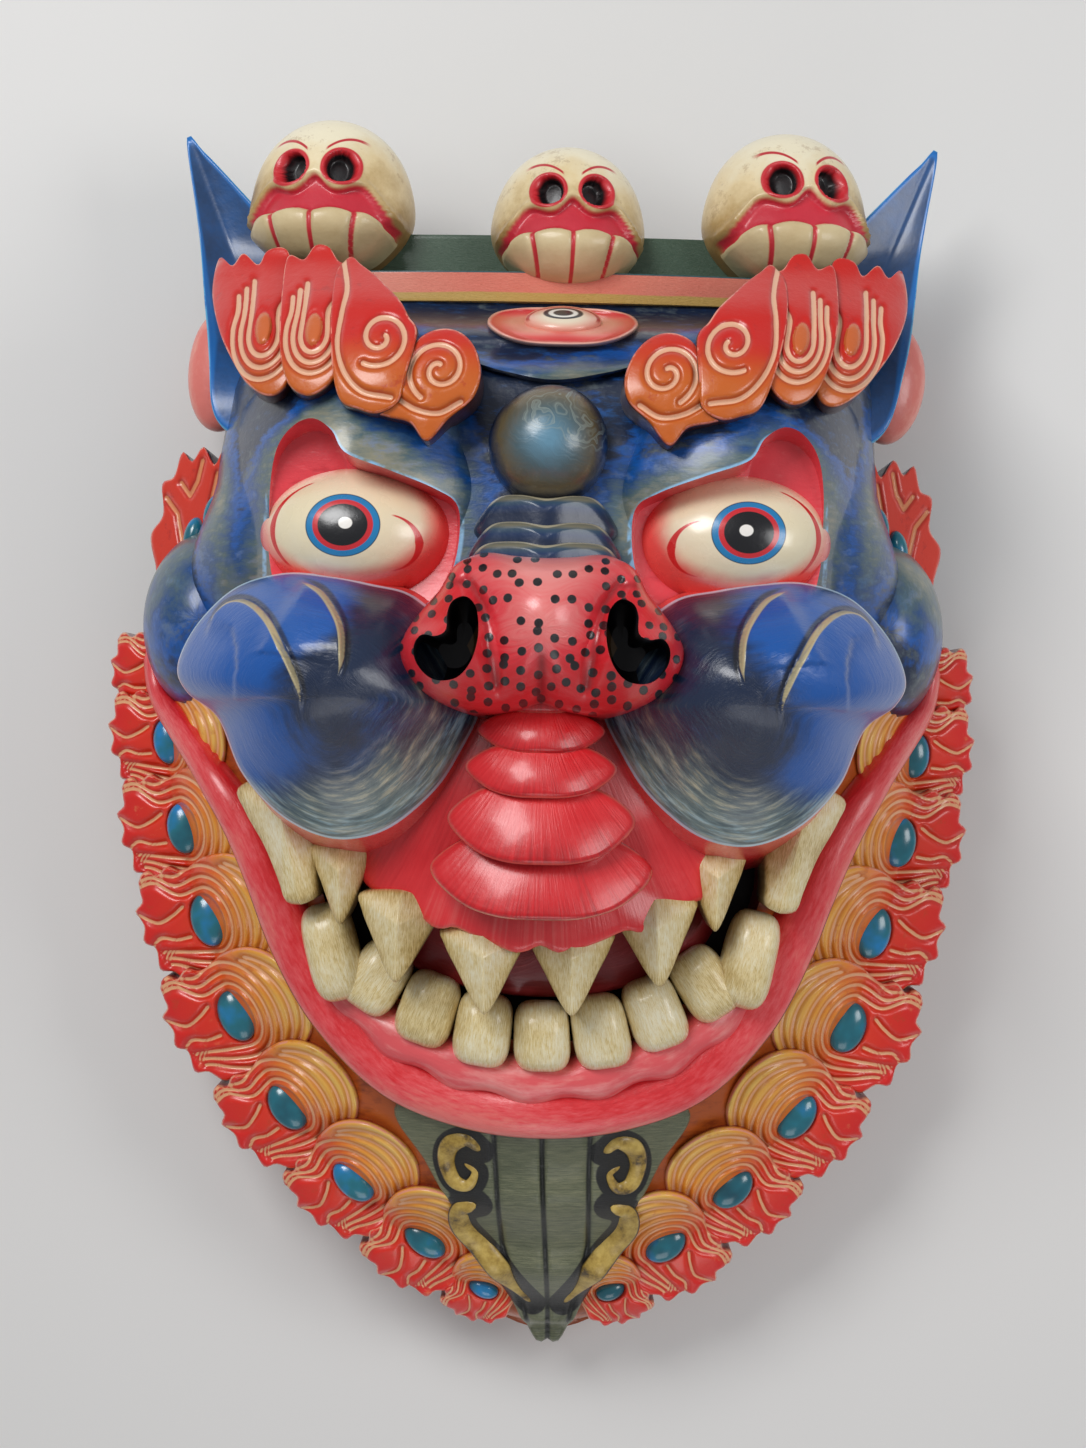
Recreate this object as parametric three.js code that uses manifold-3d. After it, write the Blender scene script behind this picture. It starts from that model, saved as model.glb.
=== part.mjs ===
// A large carved and painted wooden cham mask: a wrathful blue, bull-like face with a flame beard, flame brows,
// swept ear points and a crown of three skulls. It lies on its back rim, face up.
// Units are millimetres. X runs across the face, +Y towards the crown, +Z out of the face. Z = 0 is the back rim's plane.
import * as THREE from "three";
import { mergeVertices } from "three/addons/utils/BufferGeometryUtils.js";
import Module from "manifold-3d";

const wasm = await Module();
wasm.setup();

// ---- Driving dimensions ----
const WALL = 17; // thickness of the hollowed shell
const CROWN_Y = 290; // top edge of the shell
const CHIN_Y = -362; // bottom edge of the shell
const SEAT_GAP = 0.3; // glue line between a skull and the crown
const THROUGH = 400; // longer than the mask is deep

// ---- Geometry helpers ----
const lerp = THREE.MathUtils.lerp;
const clamp = THREE.MathUtils.clamp;

// A smooth value between stations [place, value], which are in rising order of place.
function along(stations, place) {
  const last = stations.length - 1;
  if (place <= stations[0][0]) return stations[0][1];
  if (place >= stations[last][0]) return stations[last][1];
  const i = stations.findIndex(([at]) => at >= place);
  const [from, low] = stations[i - 1];
  const [to, high] = stations[i];
  return lerp(low, high, THREE.MathUtils.smoothstep(place, from, to));
}

// Moves every vertex of a geometry. move(x, y, z) returns the new place.
function shaped(geometry, move) {
  const position = geometry.getAttribute("position");
  for (let i = 0; i < position.count; i++)
    position.setXYZ(i, ...move(position.getX(i), position.getY(i), position.getZ(i)));
  return geometry;
}

// The same shape on the other side of the face.
const mirrored = (geometry) => shaped(geometry.clone(), (x, y, z) => [-x, y, z]);

// Six times the volume that the triangles enclose; negative when they face inwards.
function enclosed(corners, index) {
  const [a, b, c] = [new THREE.Vector3(), new THREE.Vector3(), new THREE.Vector3()];
  let sum = 0;
  for (let i = 0; i < index.length; i += 3) {
    [a, b, c].forEach((corner, k) => corner.fromArray(corners, index[i + k] * 3));
    sum += a.dot(b.cross(c));
  }
  return sum;
}

// A closed solid from a geometry, with its faces turned outwards.
function solidOf(geometry) {
  const bare = geometry.clone();
  bare.deleteAttribute("normal");
  bare.deleteAttribute("uv");
  const merged = mergeVertices(bare, 1e-3);
  const corners = merged.getAttribute("position").array;
  const index = new Uint32Array(merged.index.array);
  if (enclosed(corners, index) < 0) index.reverse();
  return new wasm.Manifold(new wasm.Mesh({ numProp: 3, vertProperties: corners, triVerts: index }));
}

function geometryOf(solid) {
  const mesh = solid.getMesh();
  const geometry = new THREE.BufferGeometry();
  geometry.setAttribute("position", new THREE.BufferAttribute(mesh.vertProperties, 3));
  geometry.setIndex(new THREE.BufferAttribute(mesh.triVerts, 1));
  geometry.computeVertexNormals();
  return geometry;
}

const join = (solid, geometries) => geometries.reduce((sum, g) => sum.add(solidOf(g)), solid);
const cut = (solid, geometries) => geometries.reduce((rest, g) => rest.subtract(solidOf(g)), solid);
const both = (geometry) => [geometry, mirrored(geometry)];

// An ellipsoid with its half sizes along X, Y and Z.
function egg([x, y, z], [rx, ry, rz], segments = 8, rings = 5) {
  const ball = new THREE.SphereGeometry(1, segments, rings);
  return ball.scale(rx, ry, rz).translate(x, y, z);
}

// A flat outline pushed back from z = high to z = low, then shaped.
function slab(points, low, high, divisions = 20) {
  const outline = new THREE.SplineCurve(points.map(([x, y]) => new THREE.Vector2(x, y)));
  const shape = new THREE.Shape(outline.getPoints(divisions));
  return new THREE.ExtrudeGeometry(shape, { depth: high - low, bevelEnabled: false }).translate(0, 0, low);
}

// A roll of wood that follows a path, with an oval section that can swell: size(t) is its half width and half height.
function roll(path, size, steps = 8, sides = 6) {
  const curve = new THREE.CatmullRomCurve3(path.map((p) => new THREE.Vector3(...p)));
  const rod = new THREE.CylinderGeometry(1, 1, 1, sides, steps);
  const up = new THREE.Vector3(0, 0, 1);
  return shaped(rod, (x, y, z) => {
    const t = clamp(y + 0.5, 0, 1);
    const [wide, high] = size(t);
    const tangent = curve.getTangent(t);
    const across = new THREE.Vector3().crossVectors(up, tangent).normalize();
    const out = new THREE.Vector3().crossVectors(tangent, across).normalize();
    return curve.getPoint(t).addScaledVector(across, x * wide).addScaledVector(out, z * high).toArray();
  });
}

// ---- The head's skin: a dome over the outline, measured along the centre line and falling to the edge ----
const RIM_HALF = [
  [0, CROWN_Y], [95, 288], [152, 276], [180, 240], [186, 190], [192, 140], [214, 85], [230, 25],
  [234, -35], [229, -95], [212, -155], [182, -218], [140, -270], [90, -314], [40, -348], [0, CHIN_Y],
];
const rimPoints = [...RIM_HALF, ...RIM_HALF.slice(1, -1).reverse().map(([x, y]) => [-x, y])];
const rim = new THREE.CatmullRomCurve3(rimPoints.map(([x, y]) => new THREE.Vector3(x, y, 0)), true);

// Half the head's width at a height on the face.
const WIDTHS = [...RIM_HALF].reverse();
function halfWidth(y) {
  const i = WIDTHS.findIndex(([, at]) => at >= y);
  if (i <= 0) return 1;
  const [[x0, y0], [x1, y1]] = [WIDTHS[i - 1], WIDTHS[i]];
  return Math.max(1, lerp(x0, x1, (y - y0) / (y1 - y0)));
}

// Height of the skin on the centre line, and at the edge.
const PROFILE = [
  [CHIN_Y, 42], [-345, 66], [-300, 104], [-250, 138], [-200, 160], [-120, 182], [-60, 204], [0, 222], [80, 232],
  [150, 228], [190, 214], [215, 186], [250, 128], [280, 98], [CROWN_Y, 88],
];
const EDGE = [[CHIN_Y, 42], [-250, 46], [-100, 42], [40, 46], [140, 64], [250, 88]];
// How square the cross section is: a soft arch at the beard, a box-like brow.
const FULLNESS = [[-100, 1.65], [30, 1.8], [120, 3.2], [290, 3.6]];

function skin(x, y) {
  const out = clamp(Math.abs(x) / halfWidth(y), 0, 1);
  const n = along(FULLNESS, y);
  const arch = Math.pow(1 - Math.pow(out, n), 1 / n);
  return lerp(along(EDGE, y), along(PROFILE, y), arch);
}

// A dome over the rim outline, inset by some thickness. The unit lathe holds (radius share, level) and level 1 is the skin.
function dome(inset, segments, rings) {
  const profile = [new THREE.Vector2(0, 0), new THREE.Vector2(1, 0)];
  for (let i = rings; i >= 0; i--) profile.push(new THREE.Vector2(Math.sin((i / rings) * (Math.PI / 2)), 1));
  const lathe = new THREE.LatheGeometry(profile, segments);
  return shaped(lathe, (x, level, z) => {
    const share = Math.hypot(x, z);
    const turn = share > 1e-6 ? Math.atan2(x, z) / (2 * Math.PI) : 0;
    const edge = rim.getPointAt(((turn % 1) + 1) % 1);
    const shrink = 1 - inset / edge.length();
    const outer = edge.clone().multiplyScalar(share);
    const height = skin(outer.x, outer.y) - inset;
    return [outer.x * shrink, outer.y * shrink, level > 0.5 ? height : inset > 0 ? -1 : 0];
  });
}

// ---- Carved features of the one-piece body ----

// Bulging cheek: a swollen lobe that is cut off below by a tilted plane, where the underside shows red.
function cheek() {
  const lobe = egg([106, 14, 224], [80, 76, 80], 14, 8);
  return shaped(lobe, (x, y, z) => {
    const sag = clamp((z - 210) / 90, 0, 1);
    return [x, Math.max(y - 4 * sag, -62 + 0.18 * (240 - z)), z];
  });
}

// The round cheekbone behind the cheek, above the corner of the mouth.
const cheekbone = () => egg([190, 62, 92], [41, 56, 62], 10, 5);

// Eyeball in its socket, with the heavy lid roll above it.
const socket = () => egg([110, 120, 240], [54, 54, 26], 12, 5);
const eyeball = () => egg([104, 110, 202], [52, 40, 38], 12, 7);
const lid = () =>
  roll([[42, 84, 232], [44, 128, 238], [70, 160, 238], [112, 174, 232], [150, 176, 206], [172, 130, 166]],
    (t) => [12 + 4 * Math.sin(Math.PI * t), 13], 8, 6);

// The smooth ball between the brows, and three wrinkles across the bridge.
const browBall = () => egg([0, 157, 230], [31, 31, 31], 12, 7);
const bridge = () => egg([0, 112, 226], [36, 34, 34], 10, 5);
const wrinkle = (i) => egg([0, 127 - 15 * i, 238 + 9 * i], [31 + 2 * i, 9, 17], 8, 4);

// A broad nose with two flared wings, each hollowed by a deep nostril.
function noseForms() {
  const middle = egg([0, 62, 262], [38, 34, 40], 12, 7);
  const wing = egg([40, 48, 262], [33, 33, 40], 12, 7);
  return [middle, ...both(wing)];
}
const nostril = () => roll([[46, 60, 318], [42, 52, 290], [37, 44, 258]], () => [11, 12], 3, 7);

// Snout folds under the nose, each a pad that overlaps the one below: [half width, middle, half height, front].
const SNOUT = [[29, 14, 8, 252], [32, 1, 9, 257], [36, -16, 14, 262], [46, -42, 19, 268], [56, -68, 23, 262]];
const snoutFold = ([half, y, high, front]) => egg([0, y, front - 36], [half, high, 36], 8, 4);

// Upper lip with a scalloped edge over the fangs. The whole mouth bends back along the same arch.
const arch = (x, front, bend) => front - bend * x * x;
const FANG_EDGES = [2, 44, 84, 112];
function upperLip() {
  const edge = [[0, -111]];
  for (let i = 0; i < 3; i++) {
    const [from, to] = [FANG_EDGES[i], FANG_EDGES[i + 1]];
    const drop = -104 + 16 * i;
    edge.push([(from + to) / 2, drop + 3], [to, drop - 1 + 10 * (i > 0)]);
  }
  const right = [...edge, [122, -56], [110, -20], [60, 4]];
  const left = right.slice(1).reverse().map(([x, y]) => [-x, y]);
  const shape = new THREE.Shape([...right, ...left].map(([x, y]) => new THREE.Vector2(x, y)));
  const plate = new THREE.ExtrudeGeometry(shape, { depth: 60, bevelEnabled: false, curveSegments: 4 });
  return shaped(plate, (x, y, z) => [x, y, arch(x, 166 + z, 0.0028)]);
}

// A tooth as a tapering cone, from its root to its tip.
function tooth([rootX, rootY], [tipX, tipY], half, front, bend, tipHalf = 0.12) {
  const cone = new THREE.CylinderGeometry(1, tipHalf, 1, 6, 1);
  return shaped(cone, (x, y, z) => {
    const t = 0.5 - y;
    const px = lerp(rootX, tipX, t) + x * half;
    const py = lerp(rootY, tipY, t);
    return [px, py, arch(lerp(rootX, tipX, t), front, bend) - 14 + z * 13];
  });
}
const FANGS = [[[24, -92], [23, -144], 21], [[66, -78], [68, -130], 20], [[101, -56], [102, -103], 15]];
const upperFang = ([root, tip, half]) => tooth(root, tip, half, 226, 0.0028);
const cornerFang = () => tooth([146, -28], [134, -90], 20, 206, 0.0016);
const lowerTusk = () => tooth([84, -158], [127, -100], 19, 190, 0.0016, 0.3);

// Lower teeth: rounded blocks along the lip.
const LOWER_TEETH = [[-92, -130], [-64, -147], [-33, -158], [0, -162], [33, -158], [64, -147], [92, -130]];
const lowerTooth = ([x, y]) => egg([x, y, arch(x, 166, 0.0018)], [16.5, 17, 18], 6, 4);
const gum = () =>
  roll([[-108, -132, 140], [-66, -166, 156], [0, -181, 162], [66, -166, 156], [108, -132, 140]], () => [12, 14], 8, 5);

// The wide lower lip, a U that rises to a point at each corner of the mouth.
const LIP_PATH = [[-228, 48, 96], [-206, 2, 112], [-176, -58, 124], [-140, -126, 142], [-88, -180, 156], [0, -202, 162]];
function lowerLip() {
  const path = [...LIP_PATH, ...LIP_PATH.slice(0, -1).reverse().map(([x, y, z]) => [-x, y, z])];
  const width = [[0, 5], [0.12, 13], [0.3, 19], [0.5, 17]];
  return roll(path, (t) => [along(width, Math.min(t, 1 - t)), 13], 20, 6);
}

// Mouth: a pocket behind the teeth, lined by a board at the back with a slot through to the hollow.
const MOUTH = [[-116, -70], [-60, -102], [0, -110], [60, -102], [116, -70], [104, -122], [60, -145], [0, -154], [-60, -145], [-104, -122], [-116, -70]];
const SLOT = [[-76, -94], [0, -104], [76, -94], [62, -118], [0, -132], [-62, -118], [-76, -94]];
const mouthPocket = () => slab(MOUTH, 128, THROUGH, 18);
const mouthLining = () => slab(MOUTH.map(([x, y]) => [1.16 * x, 1.3 * (y + 116) - 116]), 116, 128, 18);
const mouthSlot = () => slab(SLOT, 100, 140, 14);

// Hollows that follow the cheeks and the nose from behind.
const cheekHollow = () => egg([106, 14, 190], [62, 58, 70], 10, 6);
const noseHollow = () => egg([0, 60, 205], [40, 60, 34], 8, 5);

// Chin plate under the lip, a tapering wedge with a straight keel.
function chinPlate() {
  const half = [[80, -206], [62, -244], [40, -290], [20, -340], [0, -366]];
  const outline = [...half, ...half.slice(0, -1).reverse().map(([x, y]) => [-x, y])];
  const shape = new THREE.Shape(outline.map(([x, y]) => new THREE.Vector2(x, y)));
  const plate = new THREE.ExtrudeGeometry(shape, { depth: 1, bevelEnabled: false });
  return shaped(plate, (x, y, z) => [x, y, z > 0.5 ? Math.max(skin(x * 0.8, y) + 9 - Math.abs(x) * 0.08, 56) : 4]);
}

// Flame curls of the beard: evenly spaced domed lobes that end in a lick of flame past the rim.
const BEARD_LINE = new THREE.SplineCurve(
  [[224, 4], [206, -66], [174, -160], [112, -250], [60, -302]].map(([x, y]) => new THREE.Vector2(x, y)),
);
const BEARD_CURLS = 7;
function beardCurl(i) {
  const t = i / (BEARD_CURLS - 1);
  const [centre, heading] = [BEARD_LINE.getPointAt(t), BEARD_LINE.getTangentAt(t)];
  const out = new THREE.Vector2(-heading.y, heading.x);
  if (out.x < 0) out.negate();
  const curl = new THREE.SphereGeometry(1, 7, 4);
  return shaped(curl, (a, b, c) => {
    const lick = Math.max(a, 0) ** 2;
    const across = -6 + a * (a > 0 ? 42 : 38);
    const down = b * 29 * (1 - 0.45 * lick) - 12 * lick;
    const x = centre.x + out.x * across + heading.x * down;
    const y = centre.y + out.y * across + heading.y * down;
    const reach = halfWidth(clamp(y, CHIN_Y + 6, CROWN_Y - 6));
    const bed = x < reach ? skin(x, y) : Math.max(lerp(44, 34, (x - reach) / 20), 24);
    return [x, y, Math.max(bed - 4 + c * (13 - 4 * lick), 14)];
  });
}

// Flame brow: a plate of two spirals and three licks that stands on the lid roll.
const BROW = [
  [36, 182], [44, 166], [60, 157], [76, 166], [96, 182], [118, 180], [142, 182], [164, 200], [178, 228], [184, 262],
  [172, 264], [164, 254], [152, 268], [142, 258], [128, 262], [118, 246], [100, 246], [84, 240], [72, 222],
  [76, 208], [62, 214], [44, 208], [36, 182],
];
const browFront = (x) => 258 - 0.0024 * Math.max(x - 40, 0) ** 2;
function browPlate() {
  return shaped(slab(BROW, 0, 1, 24), (x, y, z) => {
    const front = browFront(x);
    return [x, y, z > 0.5 ? front : front - 46 - 0.1 * (x - 40)];
  });
}

// Swept ear point at each side of the crown: a thick blade with a hollowed face.
const BLADE = [[222, 356], [218, 312], [209, 262], [197, 214], [180, 168], [150, 176], [140, 236], [152, 284], [176, 308], [200, 334]];
function blade() {
  const shape = new THREE.Shape(BLADE.map(([x, y]) => new THREE.Vector2(x, y)));
  const plate = new THREE.ExtrudeGeometry(shape, { depth: 1, bevelEnabled: false });
  return shaped(plate, (x, y, z) => {
    const edge = clamp((x - 150) / 60, 0, 1);
    const front = lerp(150, 92, clamp((y - 180) / 120, 0, 1)) + 10 * edge;
    return [x, y, z > 0.5 ? front : front - 30 - 20 * (1 - edge)];
  });
}
const ear = () => egg([198, 228, 52], [20, 38, 16], 8, 4);

// Flame tuft on the temple, with its licks fanned upwards.
const TUFT = [[172, 92], [176, 140], [184, 164], [196, 156], [204, 170], [214, 156], [224, 160], [230, 128], [234, 92]];
function tuft() {
  const shape = new THREE.Shape(TUFT.map(([x, y]) => new THREE.Vector2(x, y)));
  const plate = new THREE.ExtrudeGeometry(shape, { depth: 1, bevelEnabled: false });
  return shaped(plate, (x, y, z) => {
    const front = 132 - 0.9 * (x - 172);
    return [x, y, z > 0.5 ? front : front - 40];
  });
}

// Third eye on the forehead, in a dished socket, and the crown band behind it.
const FOREHEAD_TILT = (66 * Math.PI) / 180;
function foreheadEgg(radii, lift) {
  return egg([0, 0, 0], radii, 10, 5).rotateX(-FOREHEAD_TILT).translate(0, 232 + lift * 0.91, 158 + lift * 0.41);
}
const thirdEye = () => foreheadEgg([26, 24, 12], -3);
const BAND = [[-152, 262], [0, 272], [152, 262], [168, 240], [172, 276], [110, 290], [0, 292], [-110, 290], [-172, 276], [-168, 240], [-152, 262]];
const crownBand = () => slab(BAND, 40, 116, 16);

function body() {
  let wood = solidOf(dome(0, 36, 7));
  wood = join(wood, [crownBand(), ...both(blade()), ...both(tuft()), ...both(ear()), ...both(cheekbone())]);
  wood = join(wood, Array.from({ length: BEARD_CURLS }, (_, i) => both(beardCurl(i))).flat());
  wood = join(wood, [chinPlate(), ...both(lid())]);
  wood = cut(wood, [...both(socket()), mouthPocket()]);
  wood = join(wood, [...both(eyeball()), thirdEye(), browBall(), bridge(), ...[0, 1, 2].map(wrinkle)]);
  wood = join(wood, [...both(browPlate())]);
  wood = join(wood, [upperLip(), ...both(cheek()), ...SNOUT.map(snoutFold)]);
  wood = join(wood, [lowerLip(), gum(), ...LOWER_TEETH.map(lowerTooth), ...both(lowerTusk())]);
  wood = join(wood, [...FANGS.flatMap((f) => both(upperFang(f))), ...both(cornerFang()), ...noseForms()]);
  wood = cut(wood, [dome(WALL, 24, 5), ...both(cheekHollow()), noseHollow(), ...both(nostril())]);
  return cut(join(wood, [mouthLining()]), [mouthSlot()]);
}

// ---- A carved skull of the crown: [x, y, half width] ----
const SKULLS = { skull_left: [-133, 316, 46], skull_centre: [4, 306, 43], skull_right: [133, 309, 46] };
const SKULL_Z = 106;
function skull([x, y, half], woodBehind) {
  const cranium = shaped(new THREE.SphereGeometry(1, 12, 7), (a, b, c) => [
    a * half * (1 - 0.06 * b), b * 50, c * 40 * (1 - 0.1 * b),
  ]);
  let bone = solidOf(cranium.translate(x, y, SKULL_Z));
  const eyes = [-1, 1].map((side) => egg([x + side * 0.33 * half, y + 18, SKULL_Z + 36], [8, 9, 14], 6, 3));
  const noseHole = egg([x, y - 3, SKULL_Z + 42], [5, 8, 8], 4, 3);
  const jaw = egg([x, y - 30, SKULL_Z + 8], [half * 0.72, 17, 38], 8, 4);
  bone = join(bone, [jaw]);
  bone = cut(bone, [...eyes, noseHole]);
  return bone.subtract(woodBehind).subtract(woodBehind.translate([0, 0, SEAT_GAP])).subtract(woodBehind.translate([0, SEAT_GAP, 0]));
}

// ---- The scene graph ----
function mesh(name, solid, color, roughness) {
  const made = new THREE.Mesh(geometryOf(solid), new THREE.MeshStandardMaterial({ color, roughness, metalness: 0 }));
  made.name = name;
  return made;
}

const mask = new THREE.Group();
const wood = body();
mask.add(mesh("mask_body", wood, 0x1d3f66, 0.35));
for (const [name, place] of Object.entries(SKULLS)) mask.add(mesh(name, skull(place, wood), 0xd9c08a, 0.4));

export default mask;
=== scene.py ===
from math import cos, pi, radians, sin

import bpy
import numpy as np
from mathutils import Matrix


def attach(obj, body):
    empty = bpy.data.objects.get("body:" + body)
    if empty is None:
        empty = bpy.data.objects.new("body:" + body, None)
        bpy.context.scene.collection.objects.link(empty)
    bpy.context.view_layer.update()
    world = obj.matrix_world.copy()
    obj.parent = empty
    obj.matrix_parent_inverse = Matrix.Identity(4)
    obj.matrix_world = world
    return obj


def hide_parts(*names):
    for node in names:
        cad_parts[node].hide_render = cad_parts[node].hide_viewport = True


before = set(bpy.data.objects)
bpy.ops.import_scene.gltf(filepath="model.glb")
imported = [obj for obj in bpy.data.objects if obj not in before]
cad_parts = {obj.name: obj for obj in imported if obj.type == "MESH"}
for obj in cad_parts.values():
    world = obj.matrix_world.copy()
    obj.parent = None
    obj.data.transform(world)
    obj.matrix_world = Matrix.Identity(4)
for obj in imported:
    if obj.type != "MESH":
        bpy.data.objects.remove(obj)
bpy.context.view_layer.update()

# ---- Camera and light ----
# The mask lies on its back rim, face up, and is seen from straight above, lit by one broad soft
# panel from the crown's left, a weaker one from the right and a pale room.
MM = 0.001
CAMERA_AT = (-0.0028, 0.011, 1.2)
CAMERA_ROLL = radians(1.1)
TALL_VIEW = radians(42.2)

bpy.ops.object.camera_add(location=CAMERA_AT, rotation=(0, 0, CAMERA_ROLL))
camera = bpy.context.object
camera.data.sensor_fit = "VERTICAL"
camera.data.angle = TALL_VIEW
bpy.context.scene.camera = camera

PANELS = [
    ((-0.7, 0.9, 1.5), 0.7, 17),
    ((1.1, 0.2, 1.2), 0.6, 6),
    ((0.1, -1.4, 0.9), 0.8, 3),
]
for number, (place, width, watts) in enumerate(PANELS):
    bpy.ops.object.light_add(type="AREA", location=place)
    panel = bpy.context.object
    panel.name = f"panel_{number}"
    panel.data.size = width
    panel.data.energy = watts
    panel.rotation_euler = panel.location.to_track_quat("Z", "Y").to_euler()

world = bpy.data.worlds.new("pale_room")
bpy.context.scene.world = world
world.use_nodes = True
world.node_tree.nodes["Background"].inputs["Color"].default_value = (0.93, 0.95, 1.0, 1)
world.node_tree.nodes["Background"].inputs["Strength"].default_value = 0.3
bpy.context.scene.view_settings.view_transform = "Standard"

# ---- Blue head ----
# The head is one hollowed carving: a domed shell cut off flat at the back rim, with a forehead slab
# and two heavy lids built up on it, and an eye socket sunk through each lid. It is painted in deep
# blue that goes to slate along the edges and is rubbed to slate in patches, with a painted highlight of
# pale blue on the very edges and painted shade of dark navy in the recesses by the lids, under lacquer,
# and left as bare wood inside.
WALL = 17
CROWN_Y, CHIN_Y = 290, -362
RIM_HALF = [
    (0, CROWN_Y), (95, 288), (152, 276), (180, 240), (186, 190), (192, 140), (214, 85), (230, 25),
    (234, -35), (229, -95), (212, -155), (182, -218), (140, -270), (90, -314), (40, -348), (0, CHIN_Y),
]
PROFILE = [
    (CHIN_Y, 42), (-345, 66), (-300, 104), (-250, 138), (-200, 160), (-120, 182), (-60, 204), (0, 222),
    (80, 232), (150, 228), (190, 214), (215, 186), (250, 128), (280, 98), (CROWN_Y, 88),
]
EDGE = [(CHIN_Y, 42), (-250, 46), (-100, 42), (40, 46), (140, 64), (250, 88)]
LEAN = [(-366, 7), (-210, 1), (-90, -2), (40, -4), (150, -3), (240, 2), (330, 2)]
FULLNESS = [(-100, 1.65), (30, 1.8), (120, 3.2), (CROWN_Y, 3.6)]


def ease(low, high, value):
    """0 at low, 1 at high, smooth between and flat outside."""
    t = np.clip((value - low) / (high - low), 0, 1)
    return t * t * (3 - 2 * t)


def along(stations, place):
    """A smooth value between stations of (place, value)."""
    at, values = np.array(stations, float).T
    i = np.clip(np.searchsorted(at, place) - 1, 0, len(at) - 2)
    return values[i] + (values[i + 1] - values[i]) * ease(at[i], at[i + 1], place)


def hump(distance, reach):
    """1 at distance 0, falling smoothly to nearly 0 at twice the reach."""
    return np.exp(-((distance / reach) ** 2))


def half_width(y):
    return np.interp(y, [p[1] for p in RIM_HALF[::-1]], [p[0] for p in RIM_HALF[::-1]])


def skin(x, y):
    """Height of the head's dome."""
    out = np.clip(np.abs(x) / np.maximum(half_width(y), 1), 0, 1)
    n = along(FULLNESS, y)
    edge = along(EDGE, y)
    return edge + (along(PROFILE, y) - edge) * (1 - out**n) ** (1 / n)


def height(surface, x, y, *t):
    """How high a surface is at one place."""
    return float(surface(np.array([x]), np.array([y]), *t)[0])


def bed(x, y):
    """Where a built-up piece ends inside the head's wall."""
    return skin(x, y) - 9


def line(points, closed=False, steps=20):
    """A smooth line through points. place(u) is where it is at u, 0 to 1. A doubled point is a corner."""
    p = np.array(points, float)
    ends = (p[-1], p[:2]) if closed else (2 * p[0] - p[1], 2 * p[-1] - p[-2])
    p = np.vstack([ends[0], p, ends[1]])
    t = np.linspace(0, 1, steps, endpoint=False)[:, None]
    spans = [
        0.5 * (2 * b + (c - a) * t + (2 * a - 5 * b + 4 * c - d) * t**2 + (3 * b - a - 3 * c + d) * t**3)
        for a, b, c, d in zip(p, p[1:], p[2:], p[3:])
    ]
    path = np.vstack([*spans, p[-2]])
    run = np.concatenate([[0], np.cumsum(np.linalg.norm(np.diff(path, axis=0), axis=1))])

    def place(u):
        return np.stack([np.interp(np.asarray(u) * run[-1], run, row) for row in path.T], -1)

    place.length = run[-1]
    return place


def both_halves(half):
    """A whole closed outline from its right half, which runs from the middle round to the middle."""
    return [*half, *[(-x, y) for x, y in half[-2:0:-1]]]


def ball(name, around, rings):
    """A new unit sphere, with p, 0 to 1 from its upper pole to its lower, and its turn about Z."""
    bpy.ops.object.select_all(action="DESELECT")
    bpy.ops.mesh.primitive_uv_sphere_add(segments=around, ring_count=rings, radius=1)
    piece = bpy.context.object
    piece.name = piece.data.name = name
    a, b, c = points(piece).T
    return piece, np.arccos(np.clip(c, -1, 1)) / pi, np.arctan2(b, a)


def points(piece):
    flat = np.empty(len(piece.data.vertices) * 3)
    piece.data.vertices.foreach_get("co", flat)
    return flat.reshape(-1, 3)


def put(piece, x, y, z):
    """Moves a piece's points to places in millimetres, and turns its faces outwards."""
    places = np.stack(np.broadcast_arrays(x, y, z), -1) * MM
    piece.data.vertices.foreach_set("co", places.ravel())
    piece.data.update()
    only(piece)
    bpy.ops.object.mode_set(mode="EDIT")
    bpy.ops.mesh.select_all(action="SELECT")
    bpy.ops.mesh.normals_make_consistent(inside=False)
    bpy.ops.object.mode_set(mode="OBJECT")
    bpy.ops.object.shade_smooth()


def over_faces(piece, values):
    """The mean over each face of a number that each point has."""
    mesh = piece.data
    starts, sizes = np.empty(len(mesh.polygons), np.int32), np.empty(len(mesh.polygons), np.int32)
    corners = np.empty(len(mesh.loops), np.int32)
    mesh.polygons.foreach_get("loop_start", starts)
    mesh.polygons.foreach_get("loop_total", sizes)
    mesh.loops.foreach_get("vertex_index", corners)
    return np.add.reduceat(values[corners], starts) / sizes


def paint_faces(piece, numbers):
    """Gives each face the number of its material."""
    each = np.broadcast_to(numbers, len(piece.data.polygons)).astype(np.int32)
    piece.data.polygons.foreach_set("material_index", each)


def only(*pieces):
    """Selects these pieces and nothing else."""
    bpy.ops.object.select_all(action="DESELECT")
    for piece in pieces:
        piece.select_set(True)
    bpy.context.view_layer.objects.active = pieces[0]


def note(piece, name, *fields):
    """Keeps one number, or three, for each point of a piece, for its paint to read."""
    kind, key = ("FLOAT", "value") if len(fields) == 1 else ("FLOAT_VECTOR", "vector")
    if name in piece.data.attributes:
        piece.data.attributes.remove(piece.data.attributes[name])
    kept = piece.data.attributes.new(name, kind, "POINT")
    size = len(piece.data.vertices)
    rows = [np.broadcast_to(field, size) for field in fields]
    kept.data.foreach_set(key, np.ascontiguousarray(np.stack(rows, -1), dtype=np.float32).ravel())


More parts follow.
